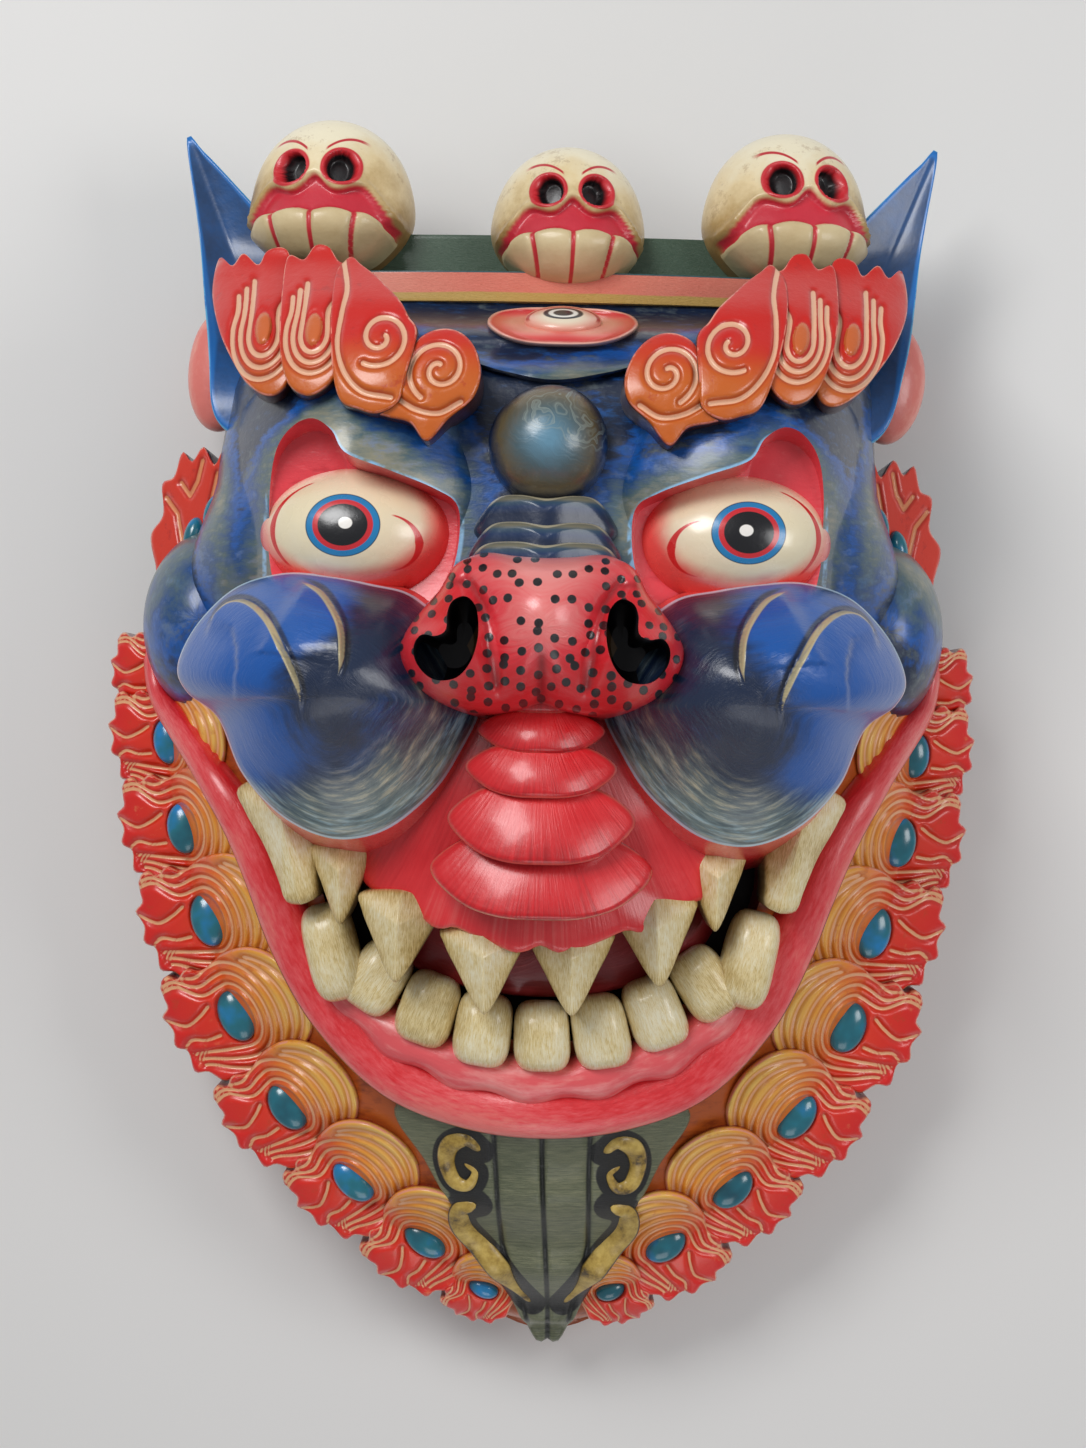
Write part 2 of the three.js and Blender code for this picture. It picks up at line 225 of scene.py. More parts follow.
def pad(name, outline, centre, top, foot, around=96, rings=36, round_over=4.0, flare=0.0, face=0.78):
    """A raised pad: top(x, y, t) over an outline, a rounded edge, a wall down to foot and a flat back.

    t is 0 at the centre and 1 at the edge. Wall faces take the second material. flare widens the wall.
    """
    piece, p, turn = ball(name, around, rings)
    edge = line(outline, closed=True)((turn / (2 * pi)) % 1)
    spoke = edge - centre
    reach = np.linalg.norm(spoke, axis=1)
    t = np.clip(p / face, 0, 1)
    down = np.clip((p - face) / ((1 - face) * 0.6), 0, 1)
    closing = np.clip((p - face) / ((1 - face) * 0.6) - 1, 0, None) / (2 / 3)
    wider = flare(*edge.T) if callable(flare) else flare
    widened = t * (1 - closing) + wider * down * (1 - closing) / reach
    x, y = (np.array(centre) + spoke * widened[:, None]).T
    edge_x, edge_y = (np.array(centre) + spoke * t[:, None]).T
    near = np.clip(1 - (1 - t) * reach / max(round_over, 0.01), 0, 1)
    high = top(edge_x, edge_y, t) - round_over * (1 - np.sqrt(1 - near**2))
    deep = foot(x, y) if callable(foot) else foot
    put(piece, x, y, high + (deep - high) * down)
    note(piece, "carve", (1 - t) * reach - down * (high - deep), np.cos(turn), np.sin(turn))
    note(piece, "grain", np.cos(turn) * reach / 34, np.sin(turn) * reach / 34, (1 - t) * reach / 3.2)
    paint_faces(piece, over_faces(piece, p) > face)
    return piece


def level(high):
    """A flat top for a pad."""
    return lambda x, y, t: high + 0 * t


def combine(piece, other, operation):
    """Joins or cuts a piece with another by a boolean, and uses the other up."""
    only(piece)
    tool = piece.modifiers.new("cut", "BOOLEAN")
    tool.object, tool.operation, tool.solver = other, operation, "MANIFOLD"
    tool.material_mode = "INDEX"
    bpy.ops.object.modifier_apply(modifier="cut")
    bpy.data.objects.remove(other)
    return piece


def gap(x, y, path):
    """Distance in millimetres to a line seen from the front, how far along it, 0 to 1, and if on its left."""
    a, b = path[:-1], path[1:]
    run = np.concatenate([[0], np.cumsum(np.linalg.norm(b - a, axis=1))])
    best, where, left = np.full(len(x), 1e9), np.zeros(len(x)), np.zeros(len(x), bool)
    for (ax, ay), (bx, by), start, end in zip(a, b, run, run[1:]):
        t = np.clip(((x - ax) * (bx - ax) + (y - ay) * (by - ay)) / max((end - start) ** 2, 1e-9), 0, 1)
        far = np.hypot(x - ax - t * (bx - ax), y - ay - t * (by - ay))
        nearer = far < best
        best = np.where(nearer, far, best)
        where = np.where(nearer, (start + t * (end - start)) / run[-1], where)
        left = np.where(nearer, (bx - ax) * (y - ay) > (by - ay) * (x - ax), left)
    return best, where, left


def dress(piece, *finishes):
    for finish in finishes:
        piece.data.materials.append(finish)
    return piece


def hand_in(piece, node="mask_body"):
    """Moves a finished piece to the carving's middle line, which wanders as cut by eye, hangs it under the
    root body and hides the part it stands for.
    """
    places = points(piece)
    places[:, 0] += along(LEAN, places[:, 1] / MM) * MM
    piece.data.vertices.foreach_set("co", places.ravel())
    piece.data.update()
    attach(piece, "root")
    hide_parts(node)


class Socket:
    """A node's output, so that shader maths is written as Python expressions."""

    def __init__(self, tree, output):
        self.tree, self.output = tree, output

    def math(self, operation, *values):
        node = self.tree.nodes.new("ShaderNodeMath")
        node.operation = operation
        for slot, value in zip(node.inputs, values):
            feed(self.tree, slot, value)
        return Socket(self.tree, node.outputs[0])

    def __add__(self, other):
        return self.math("ADD", self, other)

    def __radd__(self, other):
        return self.math("ADD", other, self)

    def __sub__(self, other):
        return self.math("SUBTRACT", self, other)

    def __rsub__(self, other):
        return self.math("SUBTRACT", other, self)

    def __mul__(self, other):
        return self.math("MULTIPLY", self, other)

    def __rmul__(self, other):
        return self.math("MULTIPLY", other, self)

    def __abs__(self):
        return self.math("ABSOLUTE", self)

    def __pow__(self, other):
        return self.math("POWER", self, other)

    def most(self, other):
        return self.math("MAXIMUM", self, other)


def feed(tree, slot, value):
    """Links a socket to a node's input, or sets the input to a number or colour."""
    if isinstance(value, Socket):
        tree.links.new(value.output, slot)
    elif isinstance(value, tuple) and len(value) < len(slot.default_value):
        slot.default_value = (*value, 1)
    else:
        slot.default_value = value


class Finish:
    """A painted and lacquered finish. Its methods add nodes and return their outputs."""

    def __init__(self, name, gloss=0.5):
        self.material = bpy.data.materials.new(name)
        self.material.use_nodes = True
        self.tree = self.material.node_tree
        self.shader = self.tree.nodes["Principled BSDF"]
        self.shader.inputs["Coat Weight"].default_value = gloss
        self.shader.inputs["Coat Roughness"].default_value = 0.2
        self.shader.inputs["Coat IOR"].default_value = 1.45
        self.place = self.node("ShaderNodeTexCoord", out="Object")

    def node(self, kind, out=0, settings=None, **inputs):
        node = self.tree.nodes.new(kind)
        for name, value in (settings or {}).items():
            setattr(node, name, value)
        for name, value in inputs.items():
            feed(self.tree, node.inputs[name.replace("_", " ")], value)
        return Socket(self.tree, node.outputs[out])

    def vector(self, name):
        return self.node("ShaderNodeAttribute", "Vector", {"attribute_name": name})

    def joined(self, x, y, z):
        return self.node("ShaderNodeCombineXYZ", 0, X=x, Y=y, Z=z)

    def field(self, name):
        """The three numbers kept for each point under a name."""
        kept = self.vector(name)
        node = self.tree.nodes.new("ShaderNodeSeparateXYZ")
        feed(self.tree, node.inputs[0], kept)
        return [Socket(self.tree, output) for output in node.outputs]

    def one(self, name):
        return self.node("ShaderNodeAttribute", "Fac", {"attribute_name": name})

    def noise(self, scale, detail=3.0, vector=None, rough=0.55):
        return self.node(
            "ShaderNodeTexNoise", "Fac", Vector=vector or self.place, Scale=scale, Detail=detail,
            Roughness=rough,
        )

    def strokes(self, scale=1.0):
        """Fine brush strokes that follow the carving."""
        return self.noise(scale, 4, self.vector("grain"), 0.65)

    def step(self, value, low, high):
        """0 at low and 1 at high, smooth between, either way round."""
        if low < high:
            return self.node(
                "ShaderNodeMapRange", 0, {
                    "interpolation_type": "SMOOTHSTEP"
                }, Value=value, From_Min=low, From_Max=high
            )
        return 1 - self.step(value, high, low)

    def mix(self, factor, first, second):
        node = self.tree.nodes.new("ShaderNodeMix")
        node.data_type = "RGBA"
        feed(self.tree, node.inputs["Factor"], factor)
        feed(self.tree, node.inputs[6], first)
        feed(self.tree, node.inputs[7], second)
        return Socket(self.tree, node.outputs[2])

    def ramp(self, value, stops):
        node = self.tree.nodes.new("ShaderNodeValToRGB")
        while len(node.color_ramp.elements) < len(stops):
            node.color_ramp.elements.new(0.5)
        for element, (at, colour) in zip(node.color_ramp.elements, stops):
            element.position = at
            element.color = (*colour, 1)
        feed(self.tree, node.inputs[0], value)
        return Socket(self.tree, node.outputs[0])

    def finish(self, colour, roughness=0.35, relief=None, depth=0.0006):
        feed(self.tree, self.shader.inputs["Base Color"], colour)
        feed(self.tree, self.shader.inputs["Roughness"], roughness)
        if relief is not None:
            relief = relief + self.noise(210, 3) * 0.3
            bump = self.node("ShaderNodeBump", 0, Height=relief, Distance=depth, Strength=1.0)
            feed(self.tree, self.shader.inputs["Normal"], bump)
        return self.material


NAVY, COBALT, SKY = (0.006, 0.018, 0.055), (0.004, 0.092, 0.39), (0.25, 0.50, 0.74)
SLATE, BONE_GREY = (0.075, 0.125, 0.135), (0.27, 0.26, 0.18)
DARK = (0.004, 0.005, 0.009)


def blue_lacquer(name):
    """Blue that is deep in the middle of a form, slate along its edge and pale on the very edge, a painted
    highlight.
    """
    paint = Finish(name, 0.6)
    edge, _, _ = paint.field("carve")
    strokes = paint.strokes()
    cloud = paint.noise(14, 4)
    patch = paint.noise(34, 5, rough=0.7)
    depth = paint.step(edge, 0, 46) * 0.5 + cloud * 0.85 + (strokes - 0.5) * 0.55
    depth = depth + paint.noise(5, 2) * 0.5 - 0.35
    colour = paint.ramp(
        depth, [(0.12, BONE_GREY), (0.3, SLATE), (0.45, (0.006, 0.06, 0.21)), (0.54, COBALT), (0.68, NAVY)]
    )
    # Random slate patches where the paint is rubbed.
    wear_and_highlight = paint.step(patch + strokes * 0.7, 0.86, 1.1) * 0.55
    colour = paint.mix(wear_and_highlight, colour, (0.16, 0.21, 0.22))
    glint = paint.step(strokes * 0.6 + patch * 0.5, 0.52, 0.36) * 0.35
    colour = paint.mix(glint, colour, (0.02, 0.17, 0.52))
    # Pale sky blue on the very edge of a form, broken by patches: a painted highlight.
    rim = paint.step(edge, 2.6, 0.8) * paint.step(edge, -0.6, 0.2) * paint.step(patch, 0.36, 0.5)
    colour = paint.mix(rim, colour, SKY)
    return paint.finish(colour, 0.3 + patch * 0.2, strokes * 0.7 + patch * 0.5)


def red_lacquer(name, deep=(0.38, 0.003, 0.006), mid=(0.76, 0.014, 0.020), light=(0.86, 0.10, 0.10)):
    """Red that is deep in its creases and goes to pink where it stands proud: painted shade and a painted
    highlight.
    """
    paint = Finish(name, 0.6)
    edge, _, _ = paint.field("carve")
    strokes = paint.strokes()
    cloud = paint.noise(22, 4)
    tone = cloud * 0.9 + (strokes - 0.5) * 0.7 + paint.step(edge, 12, 1) * 0.22 - 0.02
    colour = paint.ramp(tone, [(0.16, deep), (0.4, mid), (0.6, mid), (0.84, light)])
    return paint.finish(colour, 0.28 + cloud * 0.2, strokes * 0.8 + paint.noise(160, 3) * 0.4)


def bare_wood(name):
    paint = Finish(name, 0.0)
    x, y, z = paint.field("grain")
    grain = paint.noise(6, 5, paint.joined(x * 0.5, y * 6, z))
    cloud = paint.noise(8, 3)
    colour = paint.ramp(grain * 0.7 + cloud * 0.3, [(0.3, (0.10, 0.048, 0.02)), (0.7, (0.27, 0.15, 0.07))])
    return paint.finish(colour, 0.75, grain, 0.0008)


blue = blue_lacquer("blue_lacquer")
socket_pink = red_lacquer("socket_pink", (0.5, 0.015, 0.03), (0.78, 0.055, 0.075), (0.87, 0.2, 0.2))
wood = bare_wood("bare_wood")
maroon = red_lacquer("mouth_maroon", (0.12, 0.003, 0.005), (0.32, 0.012, 0.018), (0.60, 0.06, 0.07))
head_paints = (blue, socket_pink, wood, maroon)
BLUE_FACE, PINK_FACE, WOOD_FACE, MAROON_FACE, BEARD_FACE = range(5)

SOCKET = [
    (45, 122), (57, 130), (80, 138), (102, 146), (110, 158), (122, 165), (136, 159), (144, 145), (147, 118),
    (145, 74), (122, 70), (95, 68), (66, 68), (50, 82), (44, 102),
]
CLEAR_ABOVE, SOCKET_CUT, SOCKET_FLOOR = 330, 201, 212
LID = [
    (44, 158), (36, 134), (37, 118), (45, 94), (62, 62), (110, 52), (158, 60), (174, 95), (180, 140),
    (172, 184), (130, 204), (80, 198), (56, 178),
]
SLAB = both_halves([(0, 190), (28, 195), (54, 204), (96, 210), (132, 226), (152, 240), (120, 251), (0, 252)])
MOUTH = both_halves(
    [(0, -92), (60, -84), (112, -56), (122, -80), (108, -116), (80, -142), (40, -158), (0, -164)]
)


def lid_top(x, y, t):
    bulge = 1 - t**2.2
    falls = 0.011 * np.maximum(x - 96, 0) ** 2 + 0.05 * np.maximum(96 - y, 0)
    return 226 + 26 * bulge + 3 * hump(y - 150, 26) - falls


piece, p, turn = ball("head", 192, 128)
DOME_END, WALL_END, RIM_END, BACK_END = 0.54, 0.6, 0.62, 0.67
rim = line(both_halves(RIM_HALF), closed=True)((turn / (2 * pi)) % 1)
share = np.where(p < DOME_END, np.sin(np.clip(p / DOME_END, 0, 1) * pi / 2), 1)
share = np.where(p > BACK_END, np.sin((1 - p) / (1 - BACK_END) * pi / 2), share)
outer = p <= RIM_END - 0.01
x, y = (rim * share[:, None]).T
drop = np.clip((p - DOME_END) / (WALL_END - DOME_END), 0, 1)
rise = np.clip((p - RIM_END) / (BACK_END - RIM_END), 0, 1)
shrink = np.where(outer, 1, 1 - WALL / np.linalg.norm(rim, axis=1))
put(piece, x * shrink, y * shrink, np.where(outer, skin(x, y) * (1 - drop), (skin(x, y) - WALL) * rise))
paint_faces(piece, np.where(over_faces(piece, p) > WALL_END + 0.01, WOOD_FACE, BLUE_FACE))
head = dress(piece, *head_paints)

slab = pad("slab", SLAB, (0, 228), lambda x, y, t: skin(x, y) + 9, bed, around=120, rings=30, round_over=3)
paint_faces(slab, BLUE_FACE)
combine(head, dress(slab, *head_paints), "UNION")
mouth = pad("mouth", MOUTH, (0, -120), level(CLEAR_ABOVE), 100, around=96, rings=24, round_over=0)
paint_faces(mouth, MAROON_FACE)
combine(head, dress(mouth, *head_paints), "DIFFERENCE")
for side in ("right", "left"):
    lid = pad("lid", LID, (108, 130), lid_top, bed, around=128, rings=40, round_over=9)
    paint_faces(lid, BLUE_FACE)
    socket = pad(
        "socket", SOCKET, (98, 108), level(CLEAR_ABOVE), SOCKET_CUT, around=128, rings=24, round_over=0
    )
    x, y, z = points(socket).T / MM
    put(
        socket, x, y,
        np.where(z < SOCKET_CUT + 1, SOCKET_FLOOR + 6 * ease(25, 52, np.hypot(x - 98, (y - 106) * 1.4)), z),
    )
    paint_faces(socket, PINK_FACE)
    for solid, operation in ((lid, "UNION"), (socket, "DIFFERENCE")):
        dress(solid, *head_paints)
        if side == "left":
            x, y, z = points(solid).T / MM
            put(solid, -x, y, z)
        combine(head, solid, operation)

flame_ground = red_lacquer("beard_ground", (0.16, 0.02, 0.006), (0.45, 0.09, 0.012), (0.62, 0.26, 0.05))
dress(head, flame_ground)
material, middle = np.empty(len(head.data.polygons), np.int32), np.empty(len(head.data.polygons) * 3)
head.data.polygons.foreach_get("material_index", material)
head.data.polygons.foreach_get("center", middle)
x, y, z = middle.reshape(-1, 3).T / MM
bearded = (material == BLUE_FACE) & (y < 40) & ((np.abs(x) > 150) | (y < -60))
paint_faces(head, np.where(bearded, BEARD_FACE, material))

x, y, z = points(head).T / MM
eye_edge = gap(np.abs(x), y, line(SOCKET, closed=True)(np.linspace(0, 1, 160)))[0]
lid_edge = gap(np.abs(x), y, line(LID, closed=True)(np.linspace(0, 1, 90)))[0]
# Dark navy in the recess between the lids under the boss and where each lid's outer end meets the brows:
# painted shade.
recess = hump(np.hypot(x, (y - 168) * 1.2), 34) + hump((np.abs(x) - 150) / 24, 1) * hump((y - 196) / 34, 1)
depth = np.where(z > 150, np.minimum(eye_edge * 1.3, 10 + lid_edge), 34) + 60 * recess
fold_depth = 9 + 1.1 * np.clip(y - 190 - 0.004 * x**2, 0, 30)
forehead = (y > 189 + 0.004 * x**2) & (np.abs(x) < 138) & (z > skin(x, y) + 4)
note(head, "carve", np.where(forehead, fold_depth, depth), x * 0, x * 0)
note(head, "grain", x / 15, y / 5, z / 15)
only(head)
bpy.ops.object.shade_smooth_by_angle(angle=radians(38))
hand_in(head)

# ---- Eyes ----
# Two egg-shaped eyeballs carved in the sockets, ivory going to pink at the edge, each with a blue and
# a red ring round a black iris, and a red crescent at either side of it.
EYE_AT, EYE_HALF = (99, 109, 200), (53, 37, 42)
IRIS_AT = (104, 111)


def egg(name, centre, radii, around=64, rings=40, turn_by=(0, 0, 0), sunk=True):
    """An ellipsoid, turned about X, Y and Z in degrees, and cut off inside the head's wall if sunk."""
    piece, p, turn = ball(name, around, rings)
    place = points(piece) * radii
    for axis, angle in enumerate(turn_by):
        c, s = cos(radians(angle)), sin(radians(angle))
        i, j = [(1, 2), (2, 0), (0, 1)][axis]
        place[:, i], place[:, j] = c * place[:, i] - s * place[:, j], s * place[:, i] + c * place[:, j]
    x, y, z = (place + centre).T
    put(piece, x, y, np.maximum(z, bed(x, y)) if sunk else z)
    note(piece, "carve", (1 - np.sin(p * pi)) * 20, np.cos(turn), np.sin(turn))
    note(piece, "grain", np.cos(turn) * 2, np.sin(turn) * 2, p * 12)
    return piece


def whole(name, *pieces):
    """Joins pieces into one object."""
    only(*pieces)
    bpy.ops.object.join()
    piece = bpy.context.object
    piece.name = piece.data.name = name
    return piece


def eye_finish():
    paint = Finish("eye_enamel", 0.8)
    side, up, _ = paint.field("look")
    cloud = paint.noise(26, 4)
    patch = paint.noise(70, 4)
    rim = paint.one("rim")
    white = paint.mix(cloud, (0.83, 0.70, 0.42), (0.86, 0.79, 0.62))
    flush = paint.step(rim + (cloud - 0.5) * 0.25, 0.72, 1.0)
    colour = paint.mix(flush, white, (0.78, 0.10, 0.085))
    far = ((side * side) + (up * up)) ** 0.5
    inner = ((side + 22) * (side + 22) + (up + 10) * (up + 10)) ** 0.5
    crescent = paint.step(abs(inner - 17) + abs(up + 9) * 0.11, 2.5, 1.9) * paint.step(side, -24, -27)
    outer = ((side - 4) * (side - 4) + (up + 2) * (up + 2) * 1.15) ** 0.5
    outer_crescent = paint.step(abs(outer - 34) + abs(up) * 0.045, 1.9, 1.4)
    outer_crescent = outer_crescent * paint.step(side, 16, 19) * paint.step(up, -26, -22)
    colour = paint.mix(crescent.most(outer_crescent), colour, (0.62, 0.02, 0.02))
    for reach, shade in (
        (19.4, (0.008, 0.05, 0.10)), (18.9, (0.01, 0.21, 0.48)), (15.7, (0.62, 0.02, 0.03)),
        (12.9, (0.004, 0.004, 0.006)),
    ):
        colour = paint.mix(paint.step(far, reach + 0.25, reach - 0.25), colour, shade)
    spark = ((side + 1.5) * (side + 1.5) + (up - 1) * (up - 1)) ** 0.5
    colour = paint.mix(paint.step(spark, 3.9, 3.3), colour, (0.9, 0.88, 0.82))
    return paint.finish(colour, 0.2 + patch * 0.15, patch, 0.0004)


eye_enamel = eye_finish()
eyes = []
for side in (1, -1):
    eye = egg("eye", (side * EYE_AT[0], *EYE_AT[1:]), EYE_HALF, 96, 56, sunk=False)
    x, y, z = points(eye).T / MM
    note(eye, "look", side * x - IRIS_AT[0], (y - IRIS_AT[1]) / 0.84, z)
    note(eye, "rim", np.hypot((side * x - 103) / 50, (y - 114) / 34) + 0.06 * ease(0, -20, y - 105))
    put(eye, x, y, np.maximum(z, EYE_AT[2] - 2))
    paint_faces(dress(eye, eye_enamel, wood), over_faces(eye, z) < EYE_AT[2] - 6)
    eyes.append(eye)
hand_in(whole("eyes", *eyes))

# ---- Cheeks ----
# Two great rolled cheeks carved from the same block, blue above with two curved ridges, each with a
# painted shadow line beside it, hollowed to a flaring lower lip that is edged with a pale blue painted
# highlight, and red underneath, darkening to painted shade at the back. A smaller boss lies outside each.
CHEEK = [
    (31, 17), (32, 27), (38, 40), (46, 54), (56, 68), (70, 78), (88, 82), (110, 86), (135, 87), (160, 79),
    (179, 60), (189, 38), (184, 24), (168, 11), (156, -16), (139, -36), (119, -48), (99, -51), (77, -44),
    (54, -24), (40, -2),
]
RIDGES = [
    [(171, 50), (167, 64), (158, 71), (146, 69), (133, 58), (122, 40), (116, 24), (117, 12)],
    [(126, 83), (112, 76), (102, 64), (97, 53), (96, 40), (98, 30)],
]


def twin(piece, name):
    """The same piece on the other side of the face."""
    only(piece)
    bpy.ops.object.duplicate()
    other = bpy.context.object
    other.name = other.data.name = name
    x, y, z = points(other).T / MM
    put(other, -x, y, z)
    return other


def cheek_finish():
    paint = Finish("cheek_blue", 0.7)
    edge, _, _ = paint.field("carve")
    ridge, low, lobe = paint.field("mark")
    strokes = paint.strokes()
    fine = paint.strokes(2.6)
    cloud = paint.noise(16, 4)
    patch = paint.noise(42, 5, rough=0.7)
    body = paint.mix(paint.step(cloud + lobe * 0.9 + strokes * 0.3, 0.68, 1.1), NAVY, COBALT)
    olive = paint.ramp(
        strokes, [(0.3, (0.05, 0.085, 0.10)), (0.5, (0.15, 0.19, 0.18)), (0.68, (0.46, 0.42, 0.28))]
    )
    body = paint.mix(paint.step(low + (cloud - 0.5) * 0.5 + (strokes - 0.5) * 0.45, 0.42, 0.95), body, olive)
    # Pale blue strokes near the lower edge and a pale blue line on the very edge: painted highlight.
    glow = paint.step(edge, 26, 3) * paint.step(strokes * 0.7 + fine * 0.6, 0.6, 0.8)
    body = paint.mix(glow * paint.step(low, 0.3, 0.7) * 0.5, body, (0.24, 0.44, 0.58))
    body = paint.mix(paint.step(edge, 2.2, 1.4) * paint.step(edge, 0.0, 0.3), body, (0.55, 0.76, 0.90))
    cream = paint.step(ridge, 1.5, 0.8) * paint.step(fine + patch * 0.4, 0.35, 0.5)
    body = paint.mix(cream, body, (0.55, 0.47, 0.27))
    # A dark line along the lower side of each ridge's step: a painted shadow.
    body = paint.mix(paint.step(paint.one("rim"), 2.2, 0.6) * 0.8, body, DARK)
    return paint.finish(body, 0.22 + patch * 0.2, strokes * 0.7 + fine * 0.5 + patch * 0.3, 0.0007)


def rolled_red(name):
    """Red that is near black at the back of the fold, painted shade under the overhang, and scarlet by its
    edge.
    """
    paint = Finish(name, 0.7)
    edge, _, _ = paint.field("carve")
    strokes = paint.noise(5, 4, paint.vector("flow"))
    cloud = paint.noise(20, 4)
    tone = paint.step(edge, -48, -2) * 0.7 + cloud * 0.4 + (strokes - 0.5) * 0.5
    colour = paint.ramp(
        tone, [(0.15, (0.22, 0.003, 0.006)), (0.5, (0.60, 0.010, 0.016)), (0.9, (0.80, 0.08, 0.07))]
    )
    return paint.finish(colour, 0.3 + cloud * 0.15, strokes)


def cheek_top(x, y, t):
    dome = 232 + 66 * (1 - t**2.3) * ease(-60, 45, y) + 34 * (1 - t**2) * (1 - ease(-60, 45, y))
    dome = dome - 13 * hump(np.hypot((x - 92) / 1.3, y + 12), 26) + 3 * ease(0.8, 1, t) * ease(10, -30, y)
    for way in RIDGES:
        away, run, outside = gap(x, y, line(way)(np.linspace(0, 1, 50)))
        ends = ease(0, 0.15, run) * ease(1, 0.65, run)
        step = np.where(outside, 9 * ease(-0.4, 1.6, away) * np.exp(-away / 26), -3 * np.exp(-away / 7))
        dome = dome + step * ends
    return dome


def cheek_flare(x, y):
    """How far the red wall spreads under the cheek."""
    return 2 + 16 * ease(20, -45, y) * ease(172, 130, x) + 8 * ease(80, 50, x) * ease(26, 5, y)


cheek_blue, cheek_under = cheek_finish(), rolled_red("cheek_under")
cheek = pad(
    "cheek_right", CHEEK, (108, 22), cheek_top, bed, around=192, rings=72, round_over=6, flare=cheek_flare,
    face=0.84,
)
x, y, z = points(cheek).T / MM
crests, shades = np.full(len(x), 99.0), np.full(len(x), 99.0)
for way in RIDGES:
    path = line(way)(np.linspace(0, 1, 50))
    ahead = np.gradient(path, axis=0)
    ahead /= np.linalg.norm(ahead, axis=1)[:, None]
    for ways, aside in ((crests, -0.9), (shades, 1.7)):
        away, run, _ = gap(x, y, path + aside * np.stack([ahead[:, 1], -ahead[:, 0]], 1))
        np.minimum(ways, away + 1.5 * (1 - ease(0, 0.2, run) * ease(1, 0.8, run)), out=ways)
lobes = hump(np.hypot(x - 160, y - 40), 30) + hump(np.hypot(x - 118, y - 66), 22)
lobes = lobes + 0.5 * hump(np.hypot(x - 140, y + 8), 24)
# Distance to the painted shadow line beside each ridge.
note(cheek, "rim", shades)
low = ease(24, -44, y) * 0.9 + 0.55 * ease(100, 56, x) - 0.25 * hump(np.hypot(x - 150, y), 30)
note(cheek, "mark", crests, low, lobes)
note(cheek, "flow", x / 9, y / 9, z / 60)
dress(cheek, cheek_blue, cheek_under)
boss = egg("boss", (191, 66, 96), (42, 56, 66), 96, 60)
x, y, z = points(boss).T / MM
note(boss, "carve", 4 + 40 * ease(100, 20, y) + 12 * ease(210, 180, x), x * 0, x * 0)
dress(boss, blue)
for piece in (cheek, twin(cheek, "cheek_left")):
    hand_in(piece)
hand_in(whole("cheek_bosses", boss, twin(boss, "boss_left")))

# ---- Nose ----
# A broad nose with hollow nostrils and flaring wings, a stack of wrinkles and a round boss above it.
# Red with black spots, pink on top, the wrinkles and the boss in blue.
NOSE = both_halves([
    (0, 93), (14, 94), (30, 96), (44, 90), (52, 76), (63, 62), (70, 49), (68, 37), (57, 25), (42, 18),
    (27, 16), (12, 18), (0, 21),
])
NOSTRIL = [
    (31, 60), (33, 68), (38, 72.5), (44, 70), (46, 64), (46, 55), (51, 52), (58, 53), (62, 48), (61, 40),
    (55, 33), (48, 31), (40, 33), (34, 40), (31, 50),
]
WING_CREASE = np.array([(23, 30), (26, 44), (28, 58), (31, 70), (38, 80)], float)
WING_SHADE = np.array([(22, 30), (25, 42), (27, 56), (30, 70), (36, 80), (46, 80)], float)
SPOT_STEP, SPOT_HALF, SPOT_DRIFT = 8.0, 2.2, 2.4
NOSE_FOOT_Y = 21


def nose_finish():
    paint = Finish("nose_red", 0.7)
    edge, _, _ = paint.field("carve")
    spot, pale, crease = paint.field("mark")
    strokes = paint.strokes()
    cloud = paint.noise(22, 4)
    tone = pale * 0.6 + cloud * 0.5 + (strokes - 0.5) * 0.4
    colour = paint.ramp(
        tone, [(0.2, (0.66, 0.010, 0.016)), (0.5, (0.78, 0.035, 0.05)), (0.95, (0.84, 0.26, 0.24))]
    )
    # Dark red along the wing creases and down the middle groove: painted shade.
    colour = paint.mix(crease, colour, (0.30, 0.004, 0.008))
    dot = paint.step(spot + (cloud - 0.5) * 0.8, 0.25, -0.25) * paint.step(edge, -9, -5)
    colour = paint.mix(dot, colour, (0.008, 0.005, 0.007))
    relief = strokes * 0.6 + paint.noise(120, 3) * 0.3 + paint.step(spot, 0.4, -0.4) * 0.3
    return paint.finish(colour, 0.24 + cloud * 0.2, relief)


def nostril_finish():
    """Black, with the wood showing on the side towards the bridge."""
    paint = Finish("nostril_dark", 0.1)
    across, up, _ = paint.field("look")
    lining = paint.step(abs(across) + abs(up - 50) * 0.5, 38.5, 37.5)
    return paint.finish(paint.mix(lining, (0.006, 0.005, 0.008), (0.20, 0.11, 0.04)), 0.5)


def nose_top(x, y, t):
    wings = 30 * hump(np.hypot(np.abs(x) - 45, y - 47), 26)
    bridge = 26 * hump(x / 30, 1) * hump((y - 64) / 40, 1)
    crease = 5 * hump(gap(np.abs(x), y, WING_CREASE)[0], 4)
    middle = 6 * hump(np.abs(x), 5) * ease(52, 24, y)
    top_fall = 0.12 * np.maximum(y - 84, 0) ** 1.4
    return 268 + 17 * (1 - t**3) + np.maximum(wings, bridge) - crease - middle - top_fall


